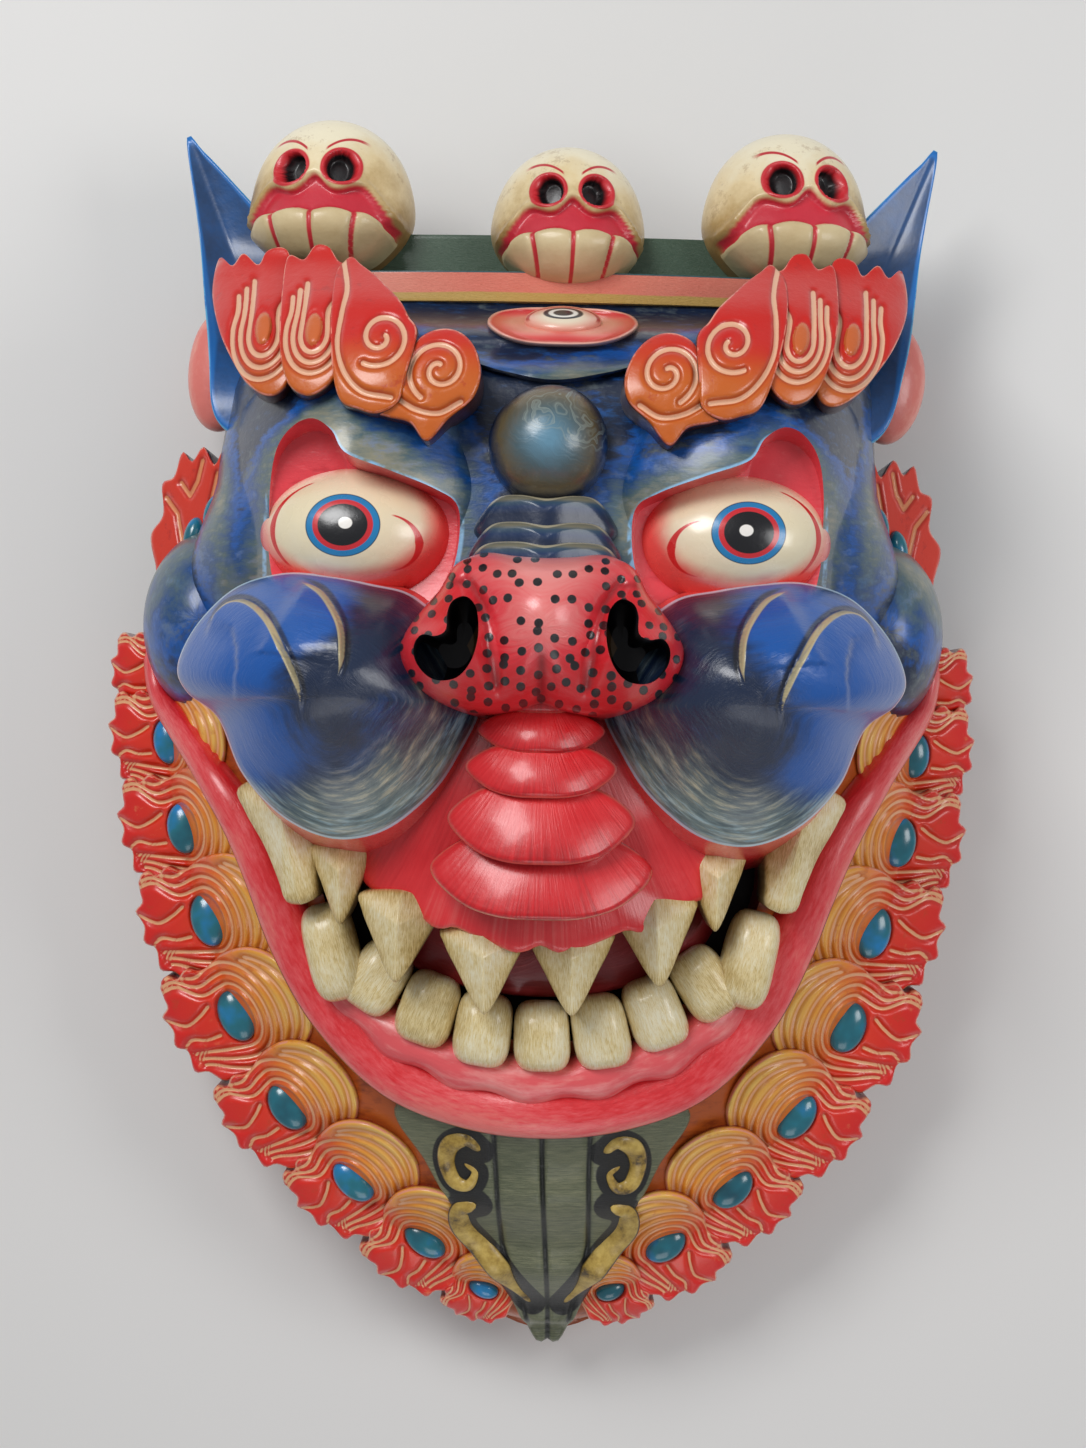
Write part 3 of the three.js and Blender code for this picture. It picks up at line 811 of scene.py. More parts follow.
nose_red = nose_finish()
hole_dark = nostril_finish()
nose = pad("nose", NOSE, (0, 56), nose_top, bed, around=192, rings=72, round_over=7, flare=4, face=0.86)
paint_faces(nose, 0)
dress(nose, nose_red, hole_dark)
for side in (1, -1):
    outline = [(side * px, py) for px, py in NOSTRIL][::side]
    hole = pad("hole", outline, (side * 40, 48), level(340), 250, around=64, rings=20, round_over=0)
    paint_faces(hole, 1)
    combine(nose, dress(hole, nose_red, hole_dark), "DIFFERENCE")
x, y, z = points(nose).T / MM
spot = np.full(len(x), 9.0)
for row in (-1, 0, 1):
    for column in (-1, 0, 1):
        cell_y = np.round((y - NOSE_FOOT_Y) / SPOT_STEP) + row
        cell_x = np.round(x / SPOT_STEP - 0.5 * (cell_y % 2)) + column
        bare_bridge = 1.5 * hump(cell_x * SPOT_STEP / 15, 1) * ease(3, 5, cell_y) - 1
        left_out = np.sin(cell_x * 7.7 + cell_y * 3.1) < bare_bridge
        aside = np.sin(cell_x * 12.9 + cell_y * 78.2) * SPOT_DRIFT
        upward = np.cos(cell_x * 39.3 + cell_y * 11.1) * SPOT_DRIFT
        over = x - (cell_x + 0.5 * (cell_y % 2)) * SPOT_STEP - aside
        above = y - NOSE_FOOT_Y - cell_y * SPOT_STEP - upward
        spot = np.where(left_out, spot, np.minimum(spot, np.hypot(over, above)))
pale = hump(x / 26, 1) * ease(30, 60, y) + 0.5 * ease(70, 92, y)
# Where the painted shade of the wing creases and the middle groove lies.
wing = gap(np.abs(x), y, WING_SHADE)[0]
notch = hump(np.abs(x), 2.2) * ease(50, 40, y)
note(nose, "look", x, y, z)
note(nose, "mark", spot - SPOT_HALF, pale, np.clip(0.75 * hump(wing, 2.2) + notch, 0, 1))
only(nose)
bpy.ops.object.shade_smooth_by_angle(angle=radians(40))
hand_in(nose)

WRINKLES = [(127, 33, 250), (112, 35, 262), (101, 38, 272)]


def wrinkle_finish():
    paint = Finish("wrinkle_blue", 0.4)
    edge, _, _ = paint.field("carve")
    down = paint.one("rim")
    cloud = paint.noise(40, 4)
    # Grey-beige at the top of each wrinkle, going to navy further down: painted highlight above and painted
    # shade below.
    colour = paint.ramp(
        down * 0.1 + (cloud - 0.5) * 0.3,
        [
            (0.16, (0.18, 0.17, 0.12)), (0.34, (0.035, 0.075, 0.12)), (0.6, (0.008, 0.03, 0.10)),
            (0.95, (0.006, 0.016, 0.05)),
        ],
    )
    # A pale line along the top edge: a painted highlight.
    colour = paint.mix(
        paint.step(abs(edge - 0.9), 1.1, 0.5) * paint.step(down, 6, 2), colour, (0.48, 0.43, 0.29)
    )
    return paint.finish(colour, 0.26 + cloud * 0.2, cloud, 0.0008)


wrinkle_blue = wrinkle_finish()
folds = []
for number, (y0, half, front) in enumerate(WRINKLES):
    leaf = both_halves([
        (0, y0 - 1), (14, y0 + 1), (half - 8, y0), (half, y0 - 8), (half + 4, y0 - 18), (half - 8, y0 - 26),
        (0, y0 - 26),
    ])

    def wrinkle_top(x, y, t):
        return front - 0.010 * x**2 + 1.5 * np.cos(x / 7)

    centre = (0, y0 - 12)
    fold = pad(
        f"wrinkle_{number}", leaf, centre, wrinkle_top, bed, around=128, rings=36, round_over=8, flare=1
    )
    x, y, z = points(fold).T / MM
    note(fold, "rim", y0 - y)
    folds.append(dress(fold, wrinkle_blue, wrinkle_blue))
hand_in(whole("bridge_wrinkles", *folds))


def brow_boss_finish():
    paint = Finish("boss_blue", 0.7)
    far = paint.one("rim")
    warp = paint.noise(30, 3)
    strokes = paint.noise(52, 5, paint.place + warp * 0.05, 0.75)
    colour = paint.ramp(
        far + (strokes - 0.5) * 0.5,
        [(0.1, (0.12, 0.27, 0.38)), (0.5, (0.07, 0.12, 0.14)), (0.8, (0.13, 0.10, 0.05)), (0.97, NAVY)],
    )
    colour = paint.mix(paint.step(strokes, 0.56, 0.66) * 0.7, colour, (0.30, 0.36, 0.33))
    return paint.finish(colour, 0.25 + strokes * 0.2, strokes, 0.0007)


BOSS_AT, BOSS_HALF = (0, 155, 230), 31
brow_boss = egg("brow_boss", BOSS_AT, (BOSS_HALF, BOSS_HALF, BOSS_HALF), 96, 60)
x, y, z = points(brow_boss).T / MM
note(brow_boss, "rim", np.hypot(x, y - BOSS_AT[1]) / BOSS_HALF)
hand_in(dress(brow_boss, brow_boss_finish()))

# ---- Third eye ----
# A shallow dish sunk in the tilted forehead, pink with a pale raised edge, and a flattened eye
# carved and painted in the middle of it.
DISH = [
    (2, 213), (22, 214), (36, 219), (43, 228), (40, 239), (26, 244), (2, 245), (-22, 244), (-36, 239),
    (-39, 228), (-32, 219), (-18, 214),
]
THIRD_AT, THIRD_HALF, FOREHEAD_TILT = (2, 231, 176), (21, 19, 7), (-64, 0, 0)


def third_eye_finish():
    paint = Finish("third_eye", 0.7)
    side, up, _ = paint.field("look")
    edge, _, _ = paint.field("carve")
    cloud = paint.noise(30, 4)
    colour = paint.ramp(edge * 0.07 + (cloud - 0.5) * 0.35, [
        (0.05, (0.85, 0.46, 0.36)), (0.2, (0.64, 0.03, 0.035)), (0.5, (0.78, 0.13, 0.11)),
        (0.95, (0.85, 0.36, 0.27)),
    ])
    ball_edge = ((side * side) * 0.0026 + (up * up) * 0.016) ** 0.5
    colour = paint.mix(paint.step(ball_edge, 1.1, 0.4), colour, (0.86, 0.74, 0.56))
    lid = paint.step(abs(ball_edge - 0.98), 0.07, 0.03) * paint.step(up, -3, 0)
    colour = paint.mix(lid, colour, (0.45, 0.01, 0.015))
    iris = ((side * side) * 0.0085 + ((up - 2.5) * (up - 2.5)) * 0.05) ** 0.5
    for reach, shade in ((1.0, (0.01, 0.01, 0.02)), (0.74, (0.85, 0.82, 0.75)), (0.5, (0.01, 0.01, 0.02))):
        colour = paint.mix(paint.step(iris, reach + 0.06, reach - 0.06), colour, shade)
    return paint.finish(colour, 0.25 + cloud * 0.15, cloud, 0.0004)


third_enamel = third_eye_finish()
dish = pad(
    "dish", DISH, (2, 229), lambda x, y, t: skin(x, y) + 17 - 5 * ease(1, 0.8, t), bed, around=120, rings=40,
    round_over=2,
)
third = egg("third_ball", THIRD_AT, THIRD_HALF, 64, 40, FOREHEAD_TILT)
note(third, "carve", 14, 0, 0)
for piece in (dish, third):
    x, y, z = points(piece).T / MM
    note(piece, "look", x - THIRD_AT[0], y - THIRD_AT[1], z)
    dress(piece, third_enamel, third_enamel)
hand_in(whole("third_eye", dish, third))

# ---- Crown band ----
# A straight band along the crown that the skulls stand on, green above and salmon in front.
def band_finish():
    paint = Finish("crown_band", 0.4)
    side, up, high = paint.field("look")
    cloud = paint.noise(24, 4)
    strokes = paint.noise(7, 4, paint.joined(side * 0.06, up * 0.4, high * 0.4))
    salmon = paint.mix(cloud * 0.7 + strokes * 0.4, (0.72, 0.10, 0.07), (0.80, 0.30, 0.20))
    green = paint.mix(cloud, (0.035, 0.075, 0.04), (0.07, 0.12, 0.08))
    colour = paint.mix(paint.step(up, 265.6, 266.4), salmon, green)
    colour = paint.mix(paint.step(abs(up - 266), 1.1, 0.6), colour, (0.02, 0.10, 0.11))
    ochre = paint.step(up + (cloud - 0.5) * 3, 254.5, 253.5)
    colour = paint.mix(ochre, colour, (0.55, 0.34, 0.08))
    return paint.finish(colour, 0.4 + cloud * 0.2, cloud * 0.5 + strokes)


band_paint = band_finish()
STRIPS = [("band_top", 264, 293, 116, 155), ("band_front", 249, 266, 142, 136)]
strips = []
for name, low, high, front, half in STRIPS:
    middle, deep = (low + high) / 2, (high - low) / 2
    bpy.ops.object.select_all(action="DESELECT")
    bpy.ops.mesh.primitive_cube_add(size=2)
    strip = bpy.context.object
    strip.name = strip.data.name = name
    only(strip)
    rounding = strip.modifiers.new("edges", "BEVEL")
    bpy.ops.object.mode_set(mode="EDIT")
    bpy.ops.mesh.select_all(action="SELECT")
    bpy.ops.mesh.subdivide(number_cuts=10)
    bpy.ops.object.mode_set(mode="OBJECT")
    rounding.width, rounding.segments, rounding.limit_method = 0.012, 3, "ANGLE"
    bpy.ops.object.modifier_apply(modifier="edges")
    x, y, z = points(strip).T
    flat_y = middle + y * deep
    front_z = front - 8 * x**2
    put(strip, x * half, flat_y, front_z + (z - 1) * (front_z - bed(x * half, flat_y)) / 2)
    x, y, z = points(strip).T / MM
    note(strip, "look", x, y, z)
    strips.append(dress(strip, band_paint))
band = whole("crown_band", *strips)
bpy.ops.object.shade_smooth_by_angle(angle=radians(30))
hand_in(band)

# ---- Skulls ----
# Three small skulls standing on the crown, each with hollow sockets, a wavy red lip and tall teeth.
# Cream at the crown, going brown towards the bottom, outlined in red.
SKULLS = [
    ("skull_left", -132, 309, 46, -8),
    ("skull_centre", 4, 299, 43, 3),
    ("skull_right", 129, 306, 46, 12),
]
SKULL_DEEP, SKULL_Z, JAW_FORWARD, FACE_LOWERED = 44, 111, 14, 0.1


def skull_finish():
    paint = Finish("skull_paint", 0.5)
    side, up, front = paint.field("look")
    cloud = paint.noise(24, 5, rough=0.65)
    crackle = paint.noise(60, 6, rough=0.8)
    tone = up * 0.5 + cloud * 0.8 - 0.05
    colour = paint.ramp(
        tone,
        [
            (0.1, (0.28, 0.15, 0.04)), (0.32, (0.50, 0.33, 0.12)), (0.52, (0.80, 0.64, 0.36)),
            (0.75, (0.90, 0.82, 0.60)),
        ],
    )
    colour = paint.mix(paint.step(crackle, 0.56, 0.64) * 0.35, colour, (0.35, 0.20, 0.08))
    mirror = abs(side)
    eye = ((mirror - 0.31) * (mirror - 0.31) + (up - 0.33) * (up - 0.33)) ** 0.5
    arch = (mirror - 0.42) * (mirror - 0.42) * 1.6
    brow = paint.step(abs(up - 0.70 + arch), 0.028, 0.012)
    brow = brow * paint.step(mirror, 0.10, 0.14) * paint.step(mirror, 0.62, 0.5)
    colour = paint.mix(brow, colour, (0.55, 0.02, 0.03))
    wave = paint.one("wave")
    red = paint.mix(cloud, (0.45, 0.006, 0.02), (0.72, 0.04, 0.07))
    colour = paint.mix(paint.step(wave, -0.03, 0.01) * paint.step(front, 0.1, 0.2), colour, red)
    teeth = paint.one("teeth")
    ivory = paint.mix(cloud, (0.46, 0.30, 0.12), (0.84, 0.72, 0.44))
    seam = paint.one("seam")
    ivory = paint.mix(paint.step(seam, 0.035, 0.018), ivory, (0.60, 0.03, 0.04))
    colour = paint.mix(paint.step(teeth, -0.02, 0.01), colour, ivory)
    colour = paint.mix(paint.step(eye, 0.255, 0.235), colour, (0.62, 0.02, 0.03))
    colour = paint.mix(paint.step(eye, 0.19, 0.17), colour, (0.006, 0.005, 0.006))
    return paint.finish(colour, 0.35 + cloud * 0.25, crackle * 0.6 + cloud * 0.5, 0.0006)


skull_paint = skull_finish()
for name, centre, stand, half, turned in SKULLS:
    skull, _, _ = ball(name, 120, 90)
    a, b, c = points(skull).T
    u, v = a, b + FACE_LOWERED
    mirror = np.abs(u)
    eye = np.hypot(mirror - 0.31, v - 0.33)
    wave = 0.02 + 0.2 * hump(u, 0.15) + 0.08 * hump(mirror - 0.52, 0.16) - 0.42 * ease(0.55, 1.05, mirror)
    under = -0.24 + 0.05 * np.abs(np.sin(u * pi / 0.47)) - 0.26 * ease(0.5, 1.0, mirror)
    red_band = np.minimum(wave - v, v - under)
    teeth = np.minimum(under - v, 0.86 - mirror)
    seam = np.min([np.abs(u - 0.47 * k * (1 + 0.25 * (v + 0.3))) for k in (-1, 0, 1)], axis=0)
    front = ease(0.05, 0.3, c)
    lift = -0.26 * ease(0.205, 0.15, eye) + 0.03 * ease(0.27, 0.2, eye) * ease(0.16, 0.2, eye)
    lift = lift - 0.09 * ease(-0.02, 0.03, red_band) + 0.05 * hump(wave + 0.06 - v, 0.05)
    lift = lift + 0.09 * ease(-0.03, 0.05, teeth) - 0.05 * hump(seam, 0.03) * ease(-0.02, 0.04, teeth)
    grow = 1 + lift * front
    jaw = 1 - 0.10 * ease(-0.3, -1, v) + 0.05 * hump(v + 0.15, 0.35)
    forward = JAW_FORWARD * ease(0.1, -0.6, b) * ease(0, 0.4, c)
    x, y, z = a * half * grow * jaw, b * (half + 2), c * SKULL_DEEP * grow + forward
    y = y * (1 - 0.10 * ease(-0.6, -1, v))
    spin = radians(turned)
    x, z = x * cos(spin) + z * sin(spin), z * cos(spin) - x * sin(spin)
    put(skull, x + centre, y + stand, z + SKULL_Z)
    note(skull, "look", u, v, c)
    note(skull, "wave", red_band)
    note(skull, "teeth", np.where(c > 0.1, teeth, -1))
    note(skull, "seam", seam)
    hand_in(dress(skull, skull_paint), name)

# ---- Brows ----
# Flame brows standing on the forehead: two drops, then two curls towards the nose on each side.
# They lean back towards the crown, red above and orange below, with pale lines in the carved grooves
# and near black at their sides.
def spiral(centre, start, end, first_turn, last_turn, steps=60):
    """A flat spiral about centre, from radius start to radius end, between two turns in degrees."""
    turn = np.radians(np.linspace(first_turn, last_turn, steps))
    reach = np.linspace(start, end, steps)
    return np.stack([centre[0] + reach * np.cos(turn), centre[1] + reach * np.sin(turn)], 1)


def nearest(x, y, lines):
    return np.min([gap(x, y, np.asarray(one, float))[0] for one in lines], axis=0)


def groove(x, y, lines, depth=3.2):
    return -depth * hump(nearest(x, y, lines), 1.9)


def carved_finish(name, top=(0.62, 0.011, 0.005), low=(0.58, 0.12, 0.008), pale=(0.81, 0.46, 0.29)):
    paint = Finish(name, 0.6)
    edge, _, _ = paint.field("carve")
    away, rise, eye = paint.field("mark")
    cloud = paint.noise(26, 4)
    fine = paint.noise(90, 5, rough=0.7)
    body = paint.mix(paint.step(rise + (cloud - 0.5) * 0.5, 0.15, 0.75), low, top)
    body = paint.mix(paint.step(fine + cloud * 0.4, 0.84, 1.0) * 0.4, body, (0.82, 0.14, 0.06))
    body = paint.mix(paint.step(fine, 0.42, 0.3) * 0.5, body, (0.40, 0.012, 0.010))
    body = paint.mix(paint.step(edge, 0.0, -1.5), body, (0.06, 0.01, 0.006))
    body = paint.mix(
        paint.step(abs(edge - 0.6), 0.8, 0.3) * paint.step(fine, 0.46, 0.56), body, (0.82, 0.26, 0.18)
    )
    shade = paint.step(abs(away), 3.0, 1.4) * 0.4
    body = paint.mix(shade, body, (0.33, 0.02, 0.008))
    body = paint.mix(paint.step(abs(away) + (fine - 0.5) * 0.7, 1.5, 1.0), body, pale)
    body = paint.mix(paint.step(eye, 0.4, 0.6), body, (0.62, 0.13, 0.025))
    return paint.finish(body, 0.27 + fine * 0.2, fine * 0.8 + cloud * 0.4, 0.0006)


def drop_lines(x, y, reaches, tall):
    """Nested U-shaped lines that spread into the flame tips above."""
    turn = np.radians(np.linspace(170, 370, 9))
    ways = []
    for number, reach in enumerate(reaches):
        bowl = [(x + reach * cos(a), y + reach * 1.3 * sin(a)) for a in turn]
        left = [(x - reach * 1.1 - 3, y + tall * (0.62 + 0.2 * number)), (x - reach * 0.95, y + tall * 0.4)]
        right = [(x + reach * 0.85, y + tall * 0.4), (x + reach * 0.95 - 2, y + tall * (0.9 - 0.12 * number))]
        ways.append(line([*left, *bowl, *right])(np.linspace(0, 1, 60)))
    return ways


VIEW_Y, VIEW_Z = 11, 1200
LEAN_BACK = 0.42
BROW_PARTS = [
    ("curl_in", (59, 184), 258, [
        (36, 186), (40, 199), (48, 207), (58, 209), (68, 205), (74, 196), (80, 184), (90, 178), (92, 168),
        (82, 164), (70, 161), (61, 152), (50, 164), (39, 174),
    ], [
        spiral((57, 188), 16.5, 2.5, -60, 450),
        line([(45, 172), (56, 166), (68, 168), (80, 175), (90, 178)])(np.linspace(0, 1, 30)),
    ], []),
    ("curl_out", (92, 200), 262, [
        (70, 206), (75, 214), (80, 222), (88, 230), (92, 234), (100, 240), (106, 244), (113, 236), (115, 216),
        (112, 190), (106, 172), (96, 167), (86, 165), (76, 171), (73, 186),
    ], [
        spiral((88, 203), 15, 2.5, 300, -200),
        line([
            (109, 242), (107, 228), (109, 216), (110, 200), (105, 186), (95, 176), (80, 173),
        ])(np.linspace(0, 1, 40)),
    ], []),
    ("drop_in", (122, 208), 258, [
        (106, 240), (112, 243), (117, 250), (124, 251), (130, 244), (138, 246), (141, 232), (142, 214),
        (140, 196), (134, 181), (123, 175), (112, 181), (106, 194), (104, 212), (104, 230),
    ], drop_lines(123, 206, (7, 11, 15), 28), [(123, 208)]),
    ("drop_out", (150, 210), 250, [
        (137, 244), (141, 252), (150, 251), (155, 244), (163, 250), (169, 244), (176, 248), (180, 230),
        (176, 212), (168, 197), (158, 184), (146, 177), (137, 181), (133, 196), (132, 220),
    ], drop_lines(151, 208, (8, 12.5, 17), 30), [(151, 211)]),
]
brow_red = carved_finish("brow_red")
brows = []
for name, centre, front, outline, ways, eyes_at in BROW_PARTS:
    def brow_top(x, y, t):
        high = front - 0.0021 * np.maximum(x - 60, 0) ** 2 + 3 * (1 - t**2) + groove(x, y, ways)
        for at in eyes_at:
            far = np.hypot((x - at[0]) / 4.4, (y - at[1]) / 8)
            high = high + 2.5 * np.sqrt(np.clip(1 - far**2, 0, 1)) - 1.5 * hump(far - 1.1, 0.2)
        return high

    part = pad(name, outline, centre, brow_top, bed, around=144, rings=52, round_over=2, face=0.86)
    x, y, z = points(part).T / MM
    bead = np.max([0 * x, *[np.hypot((x - at[0]) / 4.4, (y - at[1]) / 8) < 1 for at in eyes_at]], axis=0)
    note(part, "mark", nearest(x, y, ways), ease(160, 232, y), bead)
    low, share = bed(x, y), 1 - LEAN_BACK * ease(172, 250, y)
    spread = (VIEW_Z - low - (front - low) * share) / (VIEW_Z - front)
    put(part, x * spread, VIEW_Y + (y - VIEW_Y) * spread, low + (z - low) * share)
    brows.append(dress(part, brow_red, brow_red))
brow = whole("brow_right", *brows)
for piece in (brow, twin(brow, "brow_left")):
    hand_in(piece)

# ---- Ears, blades and temple flames ----
# Behind the brows stand two blue blades with pink ears under them, and a lick of flame with two teal
# beads set in it lies against each temple.
BLADE = [
    (222, 354), (216, 312), (208, 262), (197, 214), (186, 176), (160, 170), (142, 200), (138, 236),
    (150, 276), (168, 300), (196, 330), (212, 346),
]
TUFT = [
    (170, 82), (172, 110), (172, 140), (178, 162), (186, 166), (192, 157), (200, 168), (207, 160), (214, 166),
    (219, 152), (227, 148), (226, 130), (234, 118), (230, 100), (226, 84), (200, 72),
]


def blade_finish():
    paint = Finish("blade_blue", 0.6)
    edge, _, _ = paint.field("carve")
    cloud = paint.noise(18, 5, rough=0.65)
    fine = paint.noise(70, 5, rough=0.7)
    colour = paint.ramp(
        cloud * 0.8 + fine * 0.3,
        [(0.25, (0.010, 0.024, 0.07)), (0.5, (0.018, 0.07, 0.20)), (0.75, (0.010, 0.12, 0.40))],
    )
    colour = paint.mix(paint.step(edge + (cloud - 0.5) * 4, 7, 3.5), colour, (0.012, 0.17, 0.55))
    colour = paint.mix(paint.step(edge, 1.6, 0.6) * paint.step(fine, 0.35, 0.5), colour, (0.12, 0.45, 0.72))
    return paint.finish(colour, 0.3 + fine * 0.2, fine * 0.6 + cloud * 0.5)


def bead_finish():
    paint = Finish("bead_teal", 0.8)
    glint = paint.noise(34, 3)
    colour = paint.ramp(
        glint, [(0.3, (0.006, 0.07, 0.105)), (0.52, (0.012, 0.17, 0.23)), (0.68, (0.01, 0.24, 0.62))]
    )
    return paint.finish(colour, 0.2, glint, 0.0004)


def blade_top(x, y, t):
    return 150 - 58 * ease(180, 300, y) - 10 * (1 - t**2) * ease(190, 240, y)


blade_blue = blade_finish()
blade = pad("blade", BLADE, (176, 240), blade_top, bed, around=120, rings=40, round_over=1.5)
dress(blade, blade_blue, blade_blue)
pink = red_lacquer("ear_pink", (0.66, 0.08, 0.08), (0.82, 0.21, 0.17), (0.87, 0.33, 0.26))
ear = dress(egg("ear", (203, 222, 58), (21, 37, 16), 64, 40, sunk=False), pink)
flame_red = carved_finish("flame_red", (0.72, 0.035, 0.012), (0.62, 0.20, 0.03), (0.76, 0.28, 0.12))
teal = bead_finish()
TUFT_WAYS = [
    [(180, 160), (184, 140), (180, 120), (184, 96)], [(190, 152), (194, 134), (190, 116), (196, 92)],
    [(200, 160), (203, 148), (208, 140), (214, 148)], [(224, 140), (216, 130), (212, 112), (216, 92)],
]


def tuft_top(x, y, t):
    return 134 - 0.7 * (x - 172) + groove(x, y, TUFT_WAYS)


tuft = pad("tuft", TUFT, (198, 122), tuft_top, bed, around=128, rings=40, round_over=2)
x, y, z = points(tuft).T / MM
note(tuft, "mark", nearest(x, y, TUFT_WAYS), np.clip(ease(172, 206, x) + ease(140, 168, y), 0, 1), 0 * x)
dress(tuft, flame_red, flame_red)
beads = [
    dress(egg("bead", at, (5.5, 11, 6), 32, 20, (0, 0, 12), sunk=False), teal)
    for at in ((191, 128, 124), (204, 116, 114))
]
for name, solids in (("blades", [blade]), ("ears", [ear]), ("temple_flames", [tuft, *beads])):
    hand_in(whole(name, *solids, *[twin(solid, solid.name + "_left") for solid in solids]))

# ---- Snout folds and upper lip ----
# Five leaf-shaped folds lapping over each other below the nose, and the scalloped upper lip under
# them, red with painted shade darkening every lap and a painted pink highlight along each edge.
FOLDS = [(16, 27, 24, 262), (-4, 32, 24, 266), (-26, 38, 30, 270), (-59, 47, 44, 273), (-87, 56, 48, 268)]
LIP_TOP = both_halves([
    (0, -105), (7, -108), (14, -109), (22, -106), (33, -102), (45, -97), (52, -98), (58, -97), (66, -90),
    (72, -84), (80, -83), (92, -79), (101, -68), (112, -48), (126, -24), (112, 4), (60, 16), (0, 18),
])


def fold_finish():
    paint = Finish("fold_red", 0.7)
    edge, _, _ = paint.field("carve")
    up = paint.one("rim")
    cloud = paint.noise(24, 4)
    radial = paint.noise(4.5, 4, paint.vector("flow"), 0.6)
    tone = up * 0.4 + cloud * 0.45 + (radial - 0.5) * 0.55
    colour = paint.ramp(
        tone,
        [
            (0.1, (0.33, 0.003, 0.006)), (0.34, (0.66, 0.008, 0.014)), (0.6, (0.78, 0.028, 0.034)),
            (0.85, (0.84, 0.16, 0.14)),
        ],
    )
    # Dark red on the wall of each lap: painted shade.
    colour = paint.mix(paint.step(edge, -0.5, -3), colour, (0.16, 0.003, 0.006))
    # Pink along the rounded edge, broken by cloud: a painted highlight.
    wear_and_highlight = paint.step(edge, 1.8, 0.6) * paint.step(edge, -1.2, 0.0) * paint.step(cloud, 0.4, 0.5)
    colour = paint.mix(wear_and_highlight * 0.6, colour, (0.84, 0.20, 0.15))
    return paint.finish(colour, 0.25 + cloud * 0.2, radial * 0.8 + paint.noise(130, 3) * 0.3, 0.0006)


fold_red = fold_finish()
folds = []
for number, (bottom, half, tall, front) in enumerate(FOLDS):
    leaf = both_halves([
        (0, bottom + tall), (half * 0.6, bottom + tall * 0.86), (half * 0.95, bottom + tall * 0.62),
        (half, bottom + tall * 0.42), (half * 0.72, bottom + tall * 0.14),
        (half * 0.38, bottom + tall * 0.02),
        (0, bottom),
    ])

    def fold_top(x, y, t):
        return front - 14 * (x / half) ** 2 - 0.35 * (y - bottom) + 3 * (1 - t**2)

    centre = (0, bottom + tall * 0.45)
    fold = pad(f"fold_{number}", leaf, centre, fold_top, bed, around=120, rings=36, round_over=4, flare=-1.5)
    x, y, z = points(fold).T / MM
    note(fold, "rim", (y - bottom) / tall)
    note(fold, "flow", np.arctan2(x, bottom + tall * 1.6 - y) * 9, z / 50, 0 * x)
    folds.append(dress(fold, fold_red, fold_red))
hand_in(whole("snout_folds", *folds))


def lip_top(x, y, t):
    return 226 - 0.0029 * x**2 + 6 * (1 - t**2) - 6 * hump(y + 70, 20) * hump(x / 90, 1)


lip = pad("upper_lip", LIP_TOP, (0, -45), lip_top, bed, around=184, rings=48, round_over=5)
x, y, z = points(lip).T / MM
note(lip, "rim", 0.35 + 0.65 * ease(-30, -90, y) * hump(x / 110, 1))
note(lip, "flow", np.arctan2(x, 70 - y) * 16, z / 50, 0 * x)
hand_in(dress(lip, fold_red, fold_red))

# ---- Mouth ----
# Fangs and molars hang from the upper lip, blunt teeth stand in the gum of the lower jaw, and a
# maroon palate closes the mouth behind a board with a slot in it for the wearer.
def tooth_finish():
    paint = Finish("tooth_ivory", 0.8)
    edge, _, _ = paint.field("carve")
    downwards, across, _ = paint.field("look")
    streak = paint.noise(4, 5, paint.joined(across * 0.5, downwards * 0.05, across * 0.1), 0.65)
    cloud = paint.noise(30, 5, rough=0.65)
    tone = streak * 0.9 + cloud * 0.7 + paint.step(edge, 0, 9) * 0.15 - 0.42
    colour = paint.ramp(
        tone,
        [
            (0.12, (0.26, 0.15, 0.035)), (0.32, (0.54, 0.38, 0.13)), (0.5, (0.78, 0.63, 0.31)),
            (0.7, (0.90, 0.83, 0.60)),
        ],
    )
    colour = paint.mix(paint.step(edge, -1, -9) * 0.75, colour, (0.20, 0.11, 0.035))
    return paint.finish(colour, 0.22 + cloud * 0.2, streak * 0.8 + cloud * 0.4, 0.0007)


ivory = tooth_finish()


def fang(name, root, tip, half, front, foot, blunt=0.12, bulge=9):
    """A pointed tooth from root to tip, both flat places, half its width at the root."""
    root, tip = np.array(root, float), np.array(tip, float)
    tall = np.linalg.norm(tip - root)
    down = (tip - root) / tall
    over = np.array([-down[1], down[0]])
    widths = [(0.0, 1.0), (0.2, 0.95), (0.5, 0.64), (0.8, 0.27 + blunt * 0.5), (0.96, blunt)]
    sides = [root + down * tall * run + over * half * wide for run, wide in widths]
    back = [root + down * tall * run - over * half * wide for run, wide in widths[::-1]]
    outline = [*sides, tip, tip, *back, root - down * 4]
    centre = root + down * tall * 0.3

    def top(x, y, t):
        across = np.abs((x - centre[0]) * over[0] + (y - centre[1]) * over[1])
        return front + bulge * (1 - t**1.3) - 0.42 * across

    tooth = pad(name, outline, centre, top, foot, around=72, rings=28, round_over=1.5, flare=1)
    x, y, z = points(tooth).T / MM
    place = np.stack([x, y], 1) - root
    note(tooth, "look", place @ down, place @ over, z)
    return dress(tooth, ivory, ivory)


